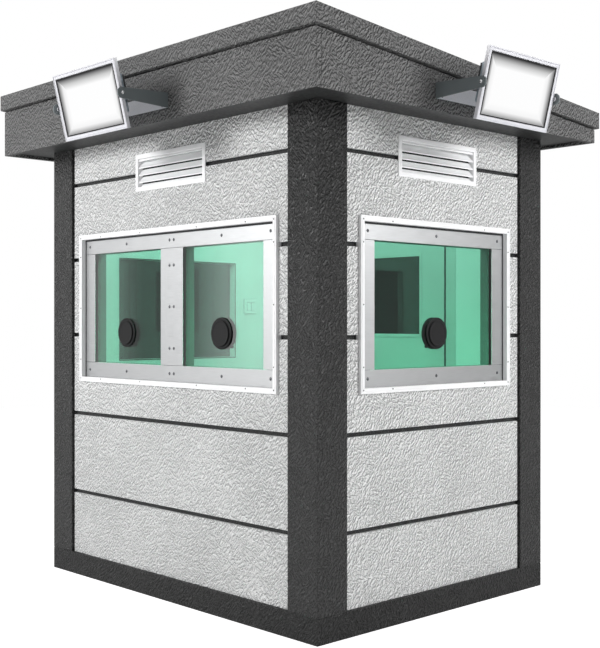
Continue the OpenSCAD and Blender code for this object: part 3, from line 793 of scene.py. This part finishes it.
class BOOTH_OT_windows(bpy.types.Operator):
    """Rims, clamp plates, glass, black strips of painted rim shadow, seals and their screws"""
    bl_idname = "booth.windows"
    bl_label = "Windows"
    bl_options = {"REGISTER", "UNDO"}

    # Places of the screws along a window and up it, from its middle
    one_pane = {"clamp": (-0.408, 0.0, 0.408), "rim": (-0.29, 0.29)}
    two_panes = {"clamp": (-0.632, -0.335, -0.015, 0.015, 0.335, 0.632),
                 "rim": (-0.51, -0.20, 0.20, 0.51)}
    mullion_pair, mullion_pitch, rim_pitch, rim_edge = 0.015, 0.177, 0.238, 0.015

    def execute(self, context):
        sizes = context.scene.booth_sizes
        # Rolled rim: outer lip, bead, flat flange and the fall to the clamp plates
        profile = [(0, CORE), (0, 0.0014), (0.0012, 0), (0.0070, 0), (0.0078, 0.0020),
                   (0.0092, 0.0020), (0.0100, 0.0006), (0.0200, 0.0006),
                   (0.0216, 0.0016), (RIM_WIDTH, 0.0030), (RIM_WIDTH, CORE)]
        plate_face, flange = CORE - 0.003, 0.0006
        clamp, rim = [], []
        for wall in ("front", "right", "left"):
            along = self.two_panes if wall == "front" else self.one_pane
            half, z0, z1 = span(wall, wall + "_window_frame")
            stand_in(wall + "_window_frame", wall + "_window_rim",
                     rect_shell((-half, half, z0, z1), profile), ["white_powder_coat"],
                     place=WALLS[wall])
            eased_piece(wall + "_window_plates", ["clamp_plate_aluminium"],
                        sizes.fine_edge)
            eased_piece(wall + "_glass", ["smoked_pane_glass" if wall == "left" else
                                          "armour_glass"], sizes.fine_edge)
            _, pane_z0, pane_z1 = span(wall, wall + "_glass")
            rows = ((pane_z1 - PANE_LAP + z1 - RIM_WIDTH) / 2,
                    (pane_z0 + PANE_LAP + z0 + RIM_WIDTH) / 2)
            middle = (z0 + z1) / 2
            clamp += [on_wall(wall, x, plate_face, z) for x in along["clamp"]
                      for z in rows]
            if along is self.two_panes:
                clamp += [on_wall(wall, x, plate_face, middle + k * self.mullion_pitch)
                          for x in (-self.mullion_pair, self.mullion_pair)
                          for k in (-1, 0, 1)]
            # Black strips where the rim's shadow falls: painted shadow
            self.strips(wall, half - RIM_WIDTH, z0 + RIM_WIDTH, z1 - RIM_WIDTH)
            self.inner_seal(wall)
            foot, head = z0 + self.rim_edge, z1 - self.rim_edge
            rim += [on_wall(wall, x, flange, z) for x in along["rim"]
                    for z in (foot, head)]
            rim += [on_wall(wall, side * (half - self.rim_edge), flange, z)
                    for side in (-1, 1)
                    for z in (foot, middle - self.rim_pitch, middle,
                              middle + self.rim_pitch, head)]
        screws("clamp_screws", "booth", clamp, sizes.clamp_screw, 0.0026)
        screws("rim_screws", "booth", rim, sizes.rim_screw, 0.0012)
        return {"FINISHED"}

    def strips(self, wall, half, z0, z1):
        """Black strips between the rim and the plates, at the top and the sides: painted shadow of the rim."""
        near, far, head = 0.0222, CORE - 0.0028, z1 - 0.008
        strips = [slab(-half, half, near, far, head, z1, 0.0004)]
        for side in (-1, 1):
            x0, x1 = sorted((side * half, side * (half - 0.003)))
            strips.append(slab(x0, x1, near, far, z0, head, 0.0004))
        piece(wall + "_rim_shadow_strips", joined(*strips), ["black_rubber"], "booth",
              place=WALLS[wall])

    def inner_seal(self, wall):
        """Seal round the pane on the inside wall."""
        half, z0, z1 = span(wall, wall + "_glass")
        pane = grow((-half, half, z0, z1), -PANE_LAP)
        seal = surround(grow(pane, 0.005), grow(pane, 0.0004), WALL_INSIDE - 0.0004,
                        WALL_INSIDE + 0.002, 0.0006)
        piece(wall + "_inner_seal", seal, ["black_rubber"], "booth", place=WALLS[wall])


class BOOTH_OT_voice_ports(bpy.types.Operator):
    """Turned voice ports through the glass, each with its locking knob"""
    bl_idname = "booth.voice_ports"
    bl_label = "Voice Ports"
    bl_options = {"REGISTER", "UNDO"}

    def execute(self, context):
        radius = 0.065
        # Front plate and its stepped flange, then the flange behind the glass
        port = [(0, 0.0108), (0.0445, 0.0108), (0.0462, 0.0118), (0.0478, 0.0120),
                (0.0512, 0.0120), (0.0528, 0.0108), (0.0530, 0.0090),
                (0.0530, 0.0074), (0.0508, 0.0066), (0.0508, 0.0060), (0.0612, 0.0060),
                (0.0642, 0.0050), (radius, 0.0034), (radius, 0.0006), (0.0642, 0.0),
                (0.0450, 0.0), (0.0450, -0.0300), (0.0642, -0.0300), (radius, -0.0308),
                (radius, -0.0366), (0.0636, -0.0380), (0.0500, -0.0380),
                (0.0500, -0.0372), (0.0480, -0.0380), (0.0480, -0.0408),
                (0.0468, -0.0420), (0.0430, -0.0420), (0.0415, -0.0408), (0, -0.0408)]
        button = [(0, -0.0002), (0.0060, -0.0002), (0.0060, 0.0060), (0.0050, 0.0074),
                  (0, 0.0078)]
        knob_angle, knob_depth = math.radians(-56), 0.034
        low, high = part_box("front_voice_ports")
        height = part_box("right_voice_port")[1].z - radius
        for wall, node, columns, hand in (
                ("front", "front_voice_ports", (low.x + radius, high.x - radius), 1),
                ("right", "right_voice_port", (0.0,), -1)):
            parts = []
            for x in columns:
                out = Matrix.Translation((x, CORE, height)) @ turned("X", 90)
                parts.append(moved(lathe(port, 72), out))
                knob = Matrix.Translation((x + hand * radius * math.cos(knob_angle),
                                           CORE + knob_depth,
                                           height + radius * math.sin(knob_angle)))
                parts.append(moved(lathe(button, 24), knob @ turned("X", -90)))
            stand_in(node, node + "_turned", joined(*parts), ["moulded_black_plastic"],
                     place=WALLS[wall], smooth=18)
        return {"FINISHED"}


class BOOTH_OT_vents(bpy.types.Operator):
    """Louvred vents: stepped flange, sleeve, end cheeks and sloping blades, with black strips as painted shade
    under the lips
    """
    bl_idname = "booth.vents"
    bl_label = "Vents"
    bl_options = {"REGISTER", "UNDO"}

    def execute(self, context):
        board, flange, border, sleeve = 0.013, 0.004, 0.020, 0.046
        face, back = board - flange, board + sleeve
        frame_profile = [
            (0, board), (0, face + 0.0016), (0.0014, face + 0.0004), (0.0060, face),
            (0.0064, face + 0.0009), (0.0072, face + 0.0009), (0.0076, face),
            (border - 0.0016, face), (border, face + 0.0016), (border, back),
            (border - 0.003, back), (border - 0.003, board)]
        # A blade rises from its front lip to the back; its run is the slope's depth
        pitch, lip, run, thick = 0.03167, 0.005, 0.024, 0.0025
        rise, tail = pitch + lip, board + run + thick
        blade = [(board, 0), (board + 0.0005, -0.0004), (board + thick, 0),
                 (board + thick, lip - thick), (tail, rise - thick), (tail, rise),
                 (board + 0.0006, lip), (board, lip - 0.0006)]
        slope = (rise - lip) / (run + thick)
        # Black strips on the lower blades, just under each lip above: painted shade
        painted_shade_strip = [(board + at - lean, lip + slope * at + lift) for at, lean, lift in (
            (0.0205, 0, -0.0002), (0.0205, 0.0004, 0.0008), (0.0262, 0.0004, 0.0008),
            (0.0262, 0, -0.0002))]
        for wall in ("front", "right", "left"):
            node = wall + "_vent"
            half, z0, z1 = span(wall, node)
            inner_x, top, bottom = half - border, z1 - border, z0 + border
            first = top - 0.011
            rows = []
            for profile, gap, place, count, coat in (
                    (blade, 0, first, 5, "white_powder_coat"),
                    (painted_shade_strip, 0.001, first - 2 * pitch, 3, "moulded_black_plastic")):
                bar = prism(profile, -inner_x + gap, inner_x - gap)
                bar = moved(bar, Matrix.Translation((0, 0, place)))
                rows.append(repeated(bar, count, (0, 0, -pitch), coat))
                coated(rows[-1], int(profile is painted_shade_strip))
                self.trim(rows[-1], top, bottom)
            cheek = [(board + 0.001, bottom), (back, bottom), (back, top),
                     (board + run, top)]
            cheeks = [prism(cheek, side * inner_x - 0.0011 * (side > 0),
                            side * inner_x + 0.0011 * (side < 0)) for side in (-1, 1)]
            rim = rect_shell((-half, half, z0, z1), frame_profile)
            stand_in(node, node + "_louvred", joined(rim, *rows, *cheeks),
                     ["white_powder_coat", "moulded_black_plastic"], place=WALLS[wall])
        return {"FINISHED"}

    def trim(self, bm, top, bottom):
        """Cuts the blades off level with the sleeve and closes their ends."""
        for z, up in ((top, 1), (bottom, -1)):
            cut(bm, (0, 0, z), (0, 0, up), clear_outer=True)
            bmesh.ops.holes_fill(bm, edges=[e for e in bm.edges if e.is_boundary],
                                 sides=12)


class BOOTH_OT_door(bpy.types.Operator):
    """Door frame, leaf, vision light, hinges and lever set on the rear wall"""
    bl_idname = "booth.door"
    bl_label = "Door"
    bl_options = {"REGISTER", "UNDO"}

    face, back = -0.002, 0.043      # outer and inner face of the leaf
    hinge_x, hinge_out = -0.447, -0.010
    knuckle = 0.045                 # height of half a hinge
    hinge_heights = (0.300, 1.000, 1.700)

    def execute(self, context):
        low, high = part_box("door_frame")
        self.door_frame(low.z, high.z)
        self.seals(low.z)
        self.leaf()
        eased_piece("door_glass", ["smoked_pane_glass"],
                    context.scene.booth_sizes.fine_edge)
        self.hinges()
        self.levers()
        return {"FINISHED"}

    def on_rear(self, name, parts, finish_name, body="booth", smooth=12):
        """A piece of the rear wall that stands for no node of its own."""
        piece(name, joined(*parts), [finish_name], body, place=WALLS["rear"],
              smooth=smooth)

    def door_frame(self, z0, head):
        """Frame with its stop, swept round the doorway; the sill is its lowest side."""
        ease, half, stop_face = 0.0015, 0.495, 0.048
        sill = z0 + 0.003
        opening, stop_edge, stop = ((-x, x, sill, top) for x, top in (
            (0.445, 1.913), (0.4262, 1.8942), (0.425, 1.893)))
        outer, drawn_in = ((-half + e, half - e, z0, head - e) for e in (0, ease))
        rows = ((outer, ease), (drawn_in, 0), ((-0.4465, 0.4465, sill, 1.9145), 0),
                (opening, ease), (opening, stop_face), (stop_edge, stop_face),
                (stop, stop_face + 0.0012), (stop, WALL_INSIDE - 0.0012),
                (stop_edge, WALL_INSIDE), (drawn_in, WALL_INSIDE),
                (outer, WALL_INSIDE - ease))
        bm = skinned([rectangle(outline, 0, y) for outline, y in rows], closed=True)
        stand_in("door_frame", "door_frame_finished", bm,
                 ["post_wrinkle_coat", "door_powder_coat"], place=WALLS["rear"],
                 pick=lambda c, f: int(c.y > stop_face - 0.001))

    def seals(self, z0):
        """Seal that the leaf closes on, and black draught strips round the inside, which also stand as painted
        shadow of the gap round the leaf.
        """
        self.on_rear("door_seal", [surround(
            (-0.444, 0.444, z0 + 0.0035, 1.912), (-0.436, 0.436, z0 + 0.0045, 1.904),
            0.0445, 0.0480, 0.0008)], "black_rubber")
        # Draught strips drawn black: real strips and painted shadow of the gap
        near, far, inner, outer, head = 0.4253, 0.434, 1.8935, 1.9022, z0 + 0.004
        strips = [slab(x0, x1, WALL_INSIDE - 0.0004, WALL_INSIDE + 0.0022, low, outer,
                       0.0006) for x0, x1, low in (
            (-far, -near, head), (near, far, head), (-near, near, inner))]
        self.on_rear("door_draught_and_shadow_strip", strips, "black_rubber")

    def leaf(self):
        """The leaf with its vision light cut through, and glazing beads."""
        low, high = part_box("door_glass")
        light = grow((low.x, high.x, low.z, high.z), -0.0095)
        leaf = surround((-0.440, 0.438, 0.108, 1.908), light, self.face, self.back,
                        0.0016)
        beads = [surround(grow(light, 0.016), grow(light, -0.001), y0, y0 + 0.0025,
                          0.0008) for y0 in (self.face - 0.0025, self.back)]
        stand_in("door_leaf", "door_leaf_finished", joined(leaf, *beads),
                 ["door_powder_coat"], place=WALLS["rear"])

    def hinges(self):
        """Three lift-off hinges: lower halves on the frame, upper ones on the leaf."""
        barrel = [(0, 0), (0.0070, 0), (0.0080, 0.001), (0.0080, 0.0205),
                  (0.0074, 0.0212), (0.0074, 0.0222), (0.0080, 0.0230),
                  (0.0080, 0.0440), (0.0070, self.knuckle), (0, self.knuckle)]
        # Each half: its name, what it is screwed to, its body, its plate (x low and
        # high, y low and high), its lowest Z and its screws from the hinge's middle
        rows = []
        for name, base, body, plate, foot, holes in (
                ("lower", "frame", "booth", (-0.497, self.hinge_x, -0.004, -0.0001),
                 -self.knuckle,
                 ((-0.485, -0.034), (-0.485, -0.011), (-0.467, -0.0225))),
                ("upper", "leaf", "door", (self.hinge_x, -0.397, -0.006, -0.0021),
                 0.0005, ((-0.409, 0.012), (-0.409, 0.034), (-0.427, 0.023)))):
            parts, spots = [], []
            for z in self.hinge_heights:
                pin = Matrix.Translation((self.hinge_x, self.hinge_out, z + foot))
                parts.append(moved(lathe(barrel, 32), pin))
                parts.append(slab(*plate, z + foot, z + foot + self.knuckle, 0.0006))
                spots += [on_wall("rear", x, plate[2], z + dz) for x, dz in holes]
            self.on_rear("hinge_" + name + "_halves", parts, "brushed_stainless", body,
                         smooth=35)
            rows.append(("hinge_screws_" + base, body, spots))
        for name, body, spots in rows:
            screws(name, body, spots, 0.0032, 0.0012)

    def levers(self):
        """A lever on its rose over a round keyhole plate, on both faces."""
        rose = [(0, 0), (0.0260, 0), (0.0260, 0.0062), (0.0246, 0.0080),
                (0.0110, 0.0080), (0.0090, 0.0095), (0.0090, 0.0300), (0.0100, 0.0330),
                (0.0100, 0.0370), (0.0088, 0.0380), (0, 0.0380)]
        key_plate = [(0, 0), (0.0220, 0), (0.0220, 0.0050), (0.0206, 0.0065),
                     (0.0090, 0.0065), (0.0090, 0.0085), (0, 0.0085)]
        spindle, parts = 0.376, []
        for face, out in ((self.face, -1), (self.back, 1)):
            for profile, z in ((rose, 1.010), (key_plate, 0.930)):
                spot = Matrix.Translation((spindle, face, z)) @ turned("X", -90 * out)
                parts.append(moved(lathe(profile), spot))
            near, far = sorted((face + out * 0.026, face + out * 0.038))
            parts.append(rect_shell(
                (spindle - 0.120, spindle + 0.004, 1.001, 1.019),
                [(0.004, near), (0.0012, near + 0.001), (0, near + 0.004),
                 (0, far - 0.004), (0.0012, far - 0.001), (0.004, far)], ring=False))
        stand_in("door_handle", "door_lever_set", joined(*parts), ["brushed_stainless"],
                 place=WALLS["rear"], smooth=35)


class BOOTH_OT_interior(bpy.types.Operator):
    """Studded floor and the switch beside the door"""
    bl_idname = "booth.interior"
    bl_label = "Interior"
    bl_options = {"REGISTER", "UNDO"}

    def execute(self, context):
        sizes = context.scene.booth_sizes
        low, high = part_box("floor")
        eased_piece("floor", ["black_rubber"], sizes.fine_edge)
        pitch = sizes.stud_pitch
        columns = int((high.x - low.x) / pitch) - 1
        rows = int((high.y - low.y) / pitch) - 1
        stud = lathe([(0.0105, 0), (0.0100, 0.0009), (0.0086, 0.0014), (0, 0.0014)], 12)
        start = Vector((-(columns - 1) * pitch / 2, -(rows - 1) * pitch / 2, high.z))
        grid = repeated(stud, columns, (pitch, 0, 0), "black_rubber", rows,
                        (0, pitch, 0))
        piece("floor_studs", moved(grid, Matrix.Translation(start)), ["black_rubber"],
              "booth", outward=False, smooth=40)
        self.light_switch()
        return {"FINISHED"}

    def light_switch(self):
        """Plate with two rocker keys, each over a black plate as painted shade in its gap, and a black slab behind
        as a painted shadow line.
        """
        low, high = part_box("light_switch")
        lean = Matrix.Translation((low.x, (low.y + high.y) / 2, (low.z + high.z) / 2))
        plate = rect_shell((-0.0425, 0.0425, -0.040, 0.040),
                           [(0, 0), (0, -0.005), (0.0015, -0.0078), (0.004, -0.009)],
                           ring=False)
        sides = [Matrix.Translation((side * 0.0145, 0, 0)) for side in (-1, 1)]
        keys = [moved(slab(-0.012, 0.012, -0.012, -0.0085, -0.022, 0.022, 0.0012), to)
                for to in sides]
        # Black plates behind the keys and the switch plate: painted shade and shadow
        painted_gap_shade = [moved(slab(-0.0134, 0.0134, -0.0096, -0.0086, -0.0234, 0.0234, 0.0003,
                           material=1), to) for to in sides]
        painted_gap_shade.append(slab(-0.0437, 0.0437, -0.0016, 0, -0.0412, 0.0412, 0.0003,
                         material=1))
        stand_in("light_switch", "light_switch_plate", joined(plate, *keys, *painted_gap_shade),
                 ["white_powder_coat", "black_rubber"], place=lean @ turned("Z", 90))


class BOOTH_OT_floodlights(bpy.types.Operator):
    """Both floodlights with their brackets, fins, seals and glowing reflectors with painted shade"""
    bl_idname = "booth.floodlights"
    bl_label = "Floodlights"
    bl_options = {"REGISTER", "UNDO"}

    half_w, half_h, back = 0.2245, 0.135, 0.014   # the lamp's frame

    def execute(self, context):
        sizes = context.scene.booth_sizes
        for wall in ("front", "right"):
            self.housing(wall)
            self.fins(wall, sizes.fin_count)
            self.reflector(wall)
            self.bracket(wall, sizes)
        return {"FINISHED"}

    def outline(self):
        """The lamp's frame as a rectangle round its tilt axis."""
        return -self.half_w, self.half_w, -self.half_h, self.half_h

    def housing(self, wall):
        """Grooved frame with its hubs, and the sheet metal shell behind it."""
        body, back = wall + "_light", self.back
        rim = rect_shell(self.outline(), [
            (0.0008, back), (0, back - 0.001), (0, -0.0006), (0.0012, -0.002),
            (0.0040, -0.002), (0.0046, 0.0012), (0.0062, 0.0012), (0.0068, -0.0008),
            (0.0150, -0.0008), (0.0170, 0.0012), (0.0180, 0.0030), (0.0180, 0.0120),
            (0.0180, back)])
        x0, x1, z0, z1 = grow(self.outline(), -0.017)
        backing = slab(x0, x1, 0.0105, back, z0, z1, 0.0004)
        hubs = []
        for side in (-1, 1):
            hub = Matrix.Translation((side * self.half_w, 0, 0))
            hubs.append(moved(lathe([(0.0090, -0.001), (0.0090, 0.0060),
                                     (0.0082, 0.0070), (0.0050, 0.0070),
                                     (0.0050, 0.0130)], 32),
                              hub @ turned("Y", side * 90)))
        stand_in(body + "_housing", body + "_frame", joined(rim, backing, *hubs),
                 ["lamp_frame_coat"], place=LIGHTS[wall], smooth=30)
        shell = rect_shell((-0.218, 0.218, -0.074, 0.074),
                           [(-0.003, back - 0.0006), (0, back + 0.004), (0.001, 0.026),
                            (0.004, 0.030)], ring=False)
        gear_box = rect_shell((-0.200, 0.200, -0.070, -0.012),
                              [(0, 0.028), (0, 0.039), (0.003, 0.042)], ring=False)
        piece(body + "_back_shell", joined(shell, gear_box), ["galvanised_sheet"], body,
              place=LIGHTS[wall])

    def fins(self, wall, count):
        """A row of cooling fins over the upper back."""
        fin = slab(-0.209, -0.207, 0.0290, 0.0418, -0.006, 0.070, 0.0005)
        row = repeated(fin, count, (0.416 / (count - 1), 0, 0), "fin_black")
        piece(wall + "_light_cooling_fins", row, ["fin_black"], wall + "_light",
              place=LIGHTS[wall])

    def reflector(self, wall):
        """Seal and reflector: sloping sides down to a flat panel, closed behind."""
        body = wall + "_light"
        seal = rect_shell(self.outline(), [
            (0.0178, -0.0002), (0.0215, -0.0002), (0.0220, 0.0004), (0.0220, 0.0040),
            (0.0178, 0.0040)])
        piece(body + "_seal", seal, ["moulded_black_plastic"], body, place=LIGHTS[wall])
        tray = rect_shell(self.outline(), [
            (0.0180, 0.0104), (0.0180, 0.0022), (0.0240, 0.0022), (0.0460, 0.0080),
            (0.0700, 0.0086)], ring=False)
        bmesh.ops.recalc_face_normals(tray, faces=tray.faces)
        self.paint_glow_and_shade(stand_in(body + "_lens", body + "_reflector", tray, ["lamp_glow"],
                               place=LIGHTS[wall], outward=False),
                      LIGHTS[wall].inverted())

    def paint_glow_and_shade(self, made, back_to_lamp):
        """Paints glow and shade on each side of the tray, corner by corner: at its
        rim, at the foot of its slope and on the flat panel. The dark top rim is painted shadow of the frame."""
        painted_side_shade = {"top": (0.02, 0.60, 1.0), "foot": (0.36, 0.93, 1.0),
                    "side": (0.14, 0.88, 1.0)}
        rim_inset, slope_inset = 0.030, 0.055
        mesh = made.data
        lit = mesh.attributes.new("lit", "FLOAT", "CORNER")

        def insets(p):
            return self.half_w - abs(p.x), self.half_h - abs(p.z)
        for face in mesh.polygons:
            centre = back_to_lamp @ face.center
            across, upright = insets(centre)
            side = "side" if across <= upright else "top" if centre.z > 0 else "foot"
            for k in face.loop_indices:
                p = back_to_lamp @ mesh.vertices[mesh.loops[k].vertex_index].co
                inset = min(insets(p))
                lit.data[k].value = painted_side_shade[side][(inset >= rim_inset)
                                                   + (inset >= slope_inset)]

    def bracket(self, wall, sizes):
        """Strip and arms, with the bolts that hold them and the light."""
        away = WALLS[wall].inverted()

        def coat(centre, face):
            facing = (away.to_3x3() @ face.normal).y < -0.5
            return int(facing and (away @ centre).y > -0.18)
        eased_piece(wall + "_light_bracket", ["arm_coat", "lamp_frame_coat"],
                    sizes.fine_edge, coat)
        axis = away @ TILT_AXIS[wall + "_light_tilt"]
        pin = [(0, 0), (0.0072, 0), (0.0072, 0.0008), (0.0064, 0.0026),
               (0.0040, 0.0036), (0, 0.0040)]
        pins, bolts = [], []
        arm_x, bolt_x, strip_face = 0.2376, 0.205, -0.175
        for side in (-1, 1):
            spot = Matrix.Translation((side * arm_x, axis.y, axis.z))
            pins.append(moved(lathe(pin, 24), spot @ turned("Y", side * 90)))
            bolts += [on_wall(wall, side * bolt_x, strip_face, axis.z + z)
                      for z in (-0.017, 0.017)]
        piece(wall + "_light_pivots", joined(*pins), ["brushed_stainless"],
              wall + "_light", place=WALLS[wall], smooth=35)
        screws(wall + "_bracket_bolts", "booth", bolts, 0.006, 0.004)


class BOOTH_OT_stage(bpy.types.Operator):
    """Floor, soft studio light, dome and camera"""
    bl_idname = "booth.stage"
    bl_label = "Stage"
    bl_options = {"REGISTER", "UNDO"}

    def execute(self, context):
        scene = context.scene
        light = scene.booth_light
        self.floor(scene)
        self.dome(scene, light.dome)
        self.lamp("key_light", (-2.6, -7.2, 3.4), (0, 0, 1.2), (2.2, 2.2), light.key)
        self.lamp("fill_light", (6.3, 2.3, 3.3), (0.6, 0, 1.2), (2.6, 2.6), light.fill)
        self.lamp("cabin_light", (0, 0, 1.93), (0, 0, 0), (1.1, 0.75), light.cabin)
        data = bpy.data.cameras.new("camera")
        data.lens, data.sensor_width, data.clip_end = 61.78, 36.0, 200
        camera = bpy.data.objects.new("camera", data)
        scene.collection.objects.link(camera)
        camera.location = (3.818, -3.516, 1.175)
        camera.rotation_euler = (math.radians(90), 0, math.radians(46.77))
        scene.camera = camera
        scene.view_settings.view_transform = "Standard"
        return {"FINISHED"}

    def floor(self, scene):
        """A wide white disc that takes the booth's soft shadow."""
        bm = bmesh.new()
        bmesh.ops.create_circle(bm, cap_ends=True, segments=96, radius=11)
        mesh = bpy.data.meshes.new("stage_floor")
        bm.to_mesh(mesh)
        bm.free()
        floor = bpy.data.objects.new("stage_floor", mesh)
        scene.collection.objects.link(floor)
        coat, tree = new_finish("pale_studio_floor")
        grain = add(tree, "ShaderNodeTexNoise", {"Scale": 3.0}).outputs[0]
        rays = add(tree, "ShaderNodeLightPath").outputs
        surfaced(coat, {
            "Base Color": blended(tree, grain, linear("#f0f0f0"), linear("#f6f6f6")),
            "Roughness": 0.9, "Specular IOR Level": 0.1,
            "Emission Color": (1, 1, 1, 1),
            "Emission Strength": spread(tree, rays["Is Camera Ray"], 0, 1, 0.1, 0.72,
                                        False)})
        mesh.materials.append(coat)

    def dome(self, scene, strength):
        """White to the eye and even for soft light. What glass and metal mirror is
        bright at the front and left, with the dark seam between two soft panels, and
        dim at the far right."""
        world = bpy.data.worlds.new("soft_studio")
        scene.world = world
        world.use_nodes = True
        tree = world.node_tree
        tree.nodes.clear()
        ray = add(tree, "ShaderNodeTexCoord").outputs["Generated"]
        x, y, z = add(tree, "ShaderNodeSeparateXYZ", {0: ray}).outputs
        turn = reckoned(tree, "ARCTAN2", y, x)
        tone = add(tree, "ShaderNodeValToRGB",
                   {0: spread(tree, turn, -math.pi, math.pi, smooth=False)})
        stops = tone.color_ramp.elements
        for element, place in zip(stops, (0.0, 1.0)):
            element.position, element.color = place, (0.42, 0.42, 0.42, 1)
        # Degrees round from +X, and how bright the dome is there
        for degrees, value in ((-147, 0.42), (-145.3, 0.14), (-142.4, 0.14),
                               (-141.4, 0.52), (-138.6, 0.95), (-134, 0.62),
                               (-95, 0.45), (-60, 0.45), (-30, 0.30), (0, 0.22),
                               (25, 0.10), (75, 0.08), (120, 0.15)):
            stops.new((degrees + 180) / 360).color = (value, value, value, 1)
        high = spread(tree, z, 0.09, 0.40)
        mirrored = blended(tree, high, tone.outputs[0], (0.6, 0.6, 0.6, 1))
        soft, glossy, seen = (add(tree, "ShaderNodeBackground",
                                  {"Color": shade, "Strength": power}).outputs[0]
                              for shade, power in (((1, 1, 1, 1), strength),
                                                   (mirrored, 2.2),
                                                   ((1, 1, 1, 1), 1.0)))
        rays = add(tree, "ShaderNodeLightPath").outputs
        lit = add(tree, "ShaderNodeMixShader",
                  {0: rays["Is Glossy Ray"], 1: soft, 2: glossy}).outputs[0]
        both = add(tree, "ShaderNodeMixShader",
                   {0: rays["Is Camera Ray"], 1: lit, 2: seen})
        add(tree, "ShaderNodeOutputWorld", {"Surface": both.outputs[0]})

    def lamp(self, name, spot, aim, size, power):
        """A soft rectangular lamp that looks at a point."""
        data = bpy.data.lights.new(name, "AREA")
        data.shape, data.size, data.size_y, data.energy = "RECTANGLE", *size, power
        lamp = bpy.data.objects.new(name, data)
        bpy.context.scene.collection.objects.link(lamp)
        lamp.location = spot
        way = Vector(aim) - Vector(spot)
        lamp.rotation_euler = way.to_track_quat("-Z", "Y").to_euler()


OPERATORS = (BOOTH_OT_stage, BOOTH_OT_walls, BOOTH_OT_posts, BOOTH_OT_roof,
             BOOTH_OT_windows, BOOTH_OT_voice_ports, BOOTH_OT_vents, BOOTH_OT_door,
             BOOTH_OT_interior, BOOTH_OT_floodlights)


class BOOTH_PT_panel(bpy.types.Panel):
    """Lists the booth's settings and the operators that build it"""
    bl_idname = "BOOTH_PT_panel"
    bl_label = "Guard Booth"
    bl_space_type = "VIEW_3D"
    bl_region_type = "UI"
    bl_category = "Booth"

    def draw(self, context):
        for group in (context.scene.booth_colours, context.scene.booth_sizes,
                      context.scene.booth_light):
            box = self.layout.box()
            for name in group.bl_rna.properties.keys():
                if name not in ("rna_type", "name"):
                    box.prop(group, name)
        for one in OPERATORS:
            self.layout.operator(one.bl_idname)


CLASSES = (BoothColours, BoothSizes, BoothLight) + OPERATORS + (BOOTH_PT_panel,)


def register():
    for one in CLASSES:
        bpy.utils.register_class(one)
    bpy.types.Scene.booth_colours = PointerProperty(type=BoothColours)
    bpy.types.Scene.booth_sizes = PointerProperty(type=BoothSizes)
    bpy.types.Scene.booth_light = PointerProperty(type=BoothLight)


def unregister():
    for name in ("booth_colours", "booth_sizes", "booth_light"):
        delattr(bpy.types.Scene, name)
    for one in reversed(CLASSES):
        bpy.utils.unregister_class(one)


def main():
    """Builds the booth."""
    register()
    for one in OPERATORS:
        group, name = one.bl_idname.split(".")
        getattr(getattr(bpy.ops, group), name)()


if __name__ == "__main__":
    main()
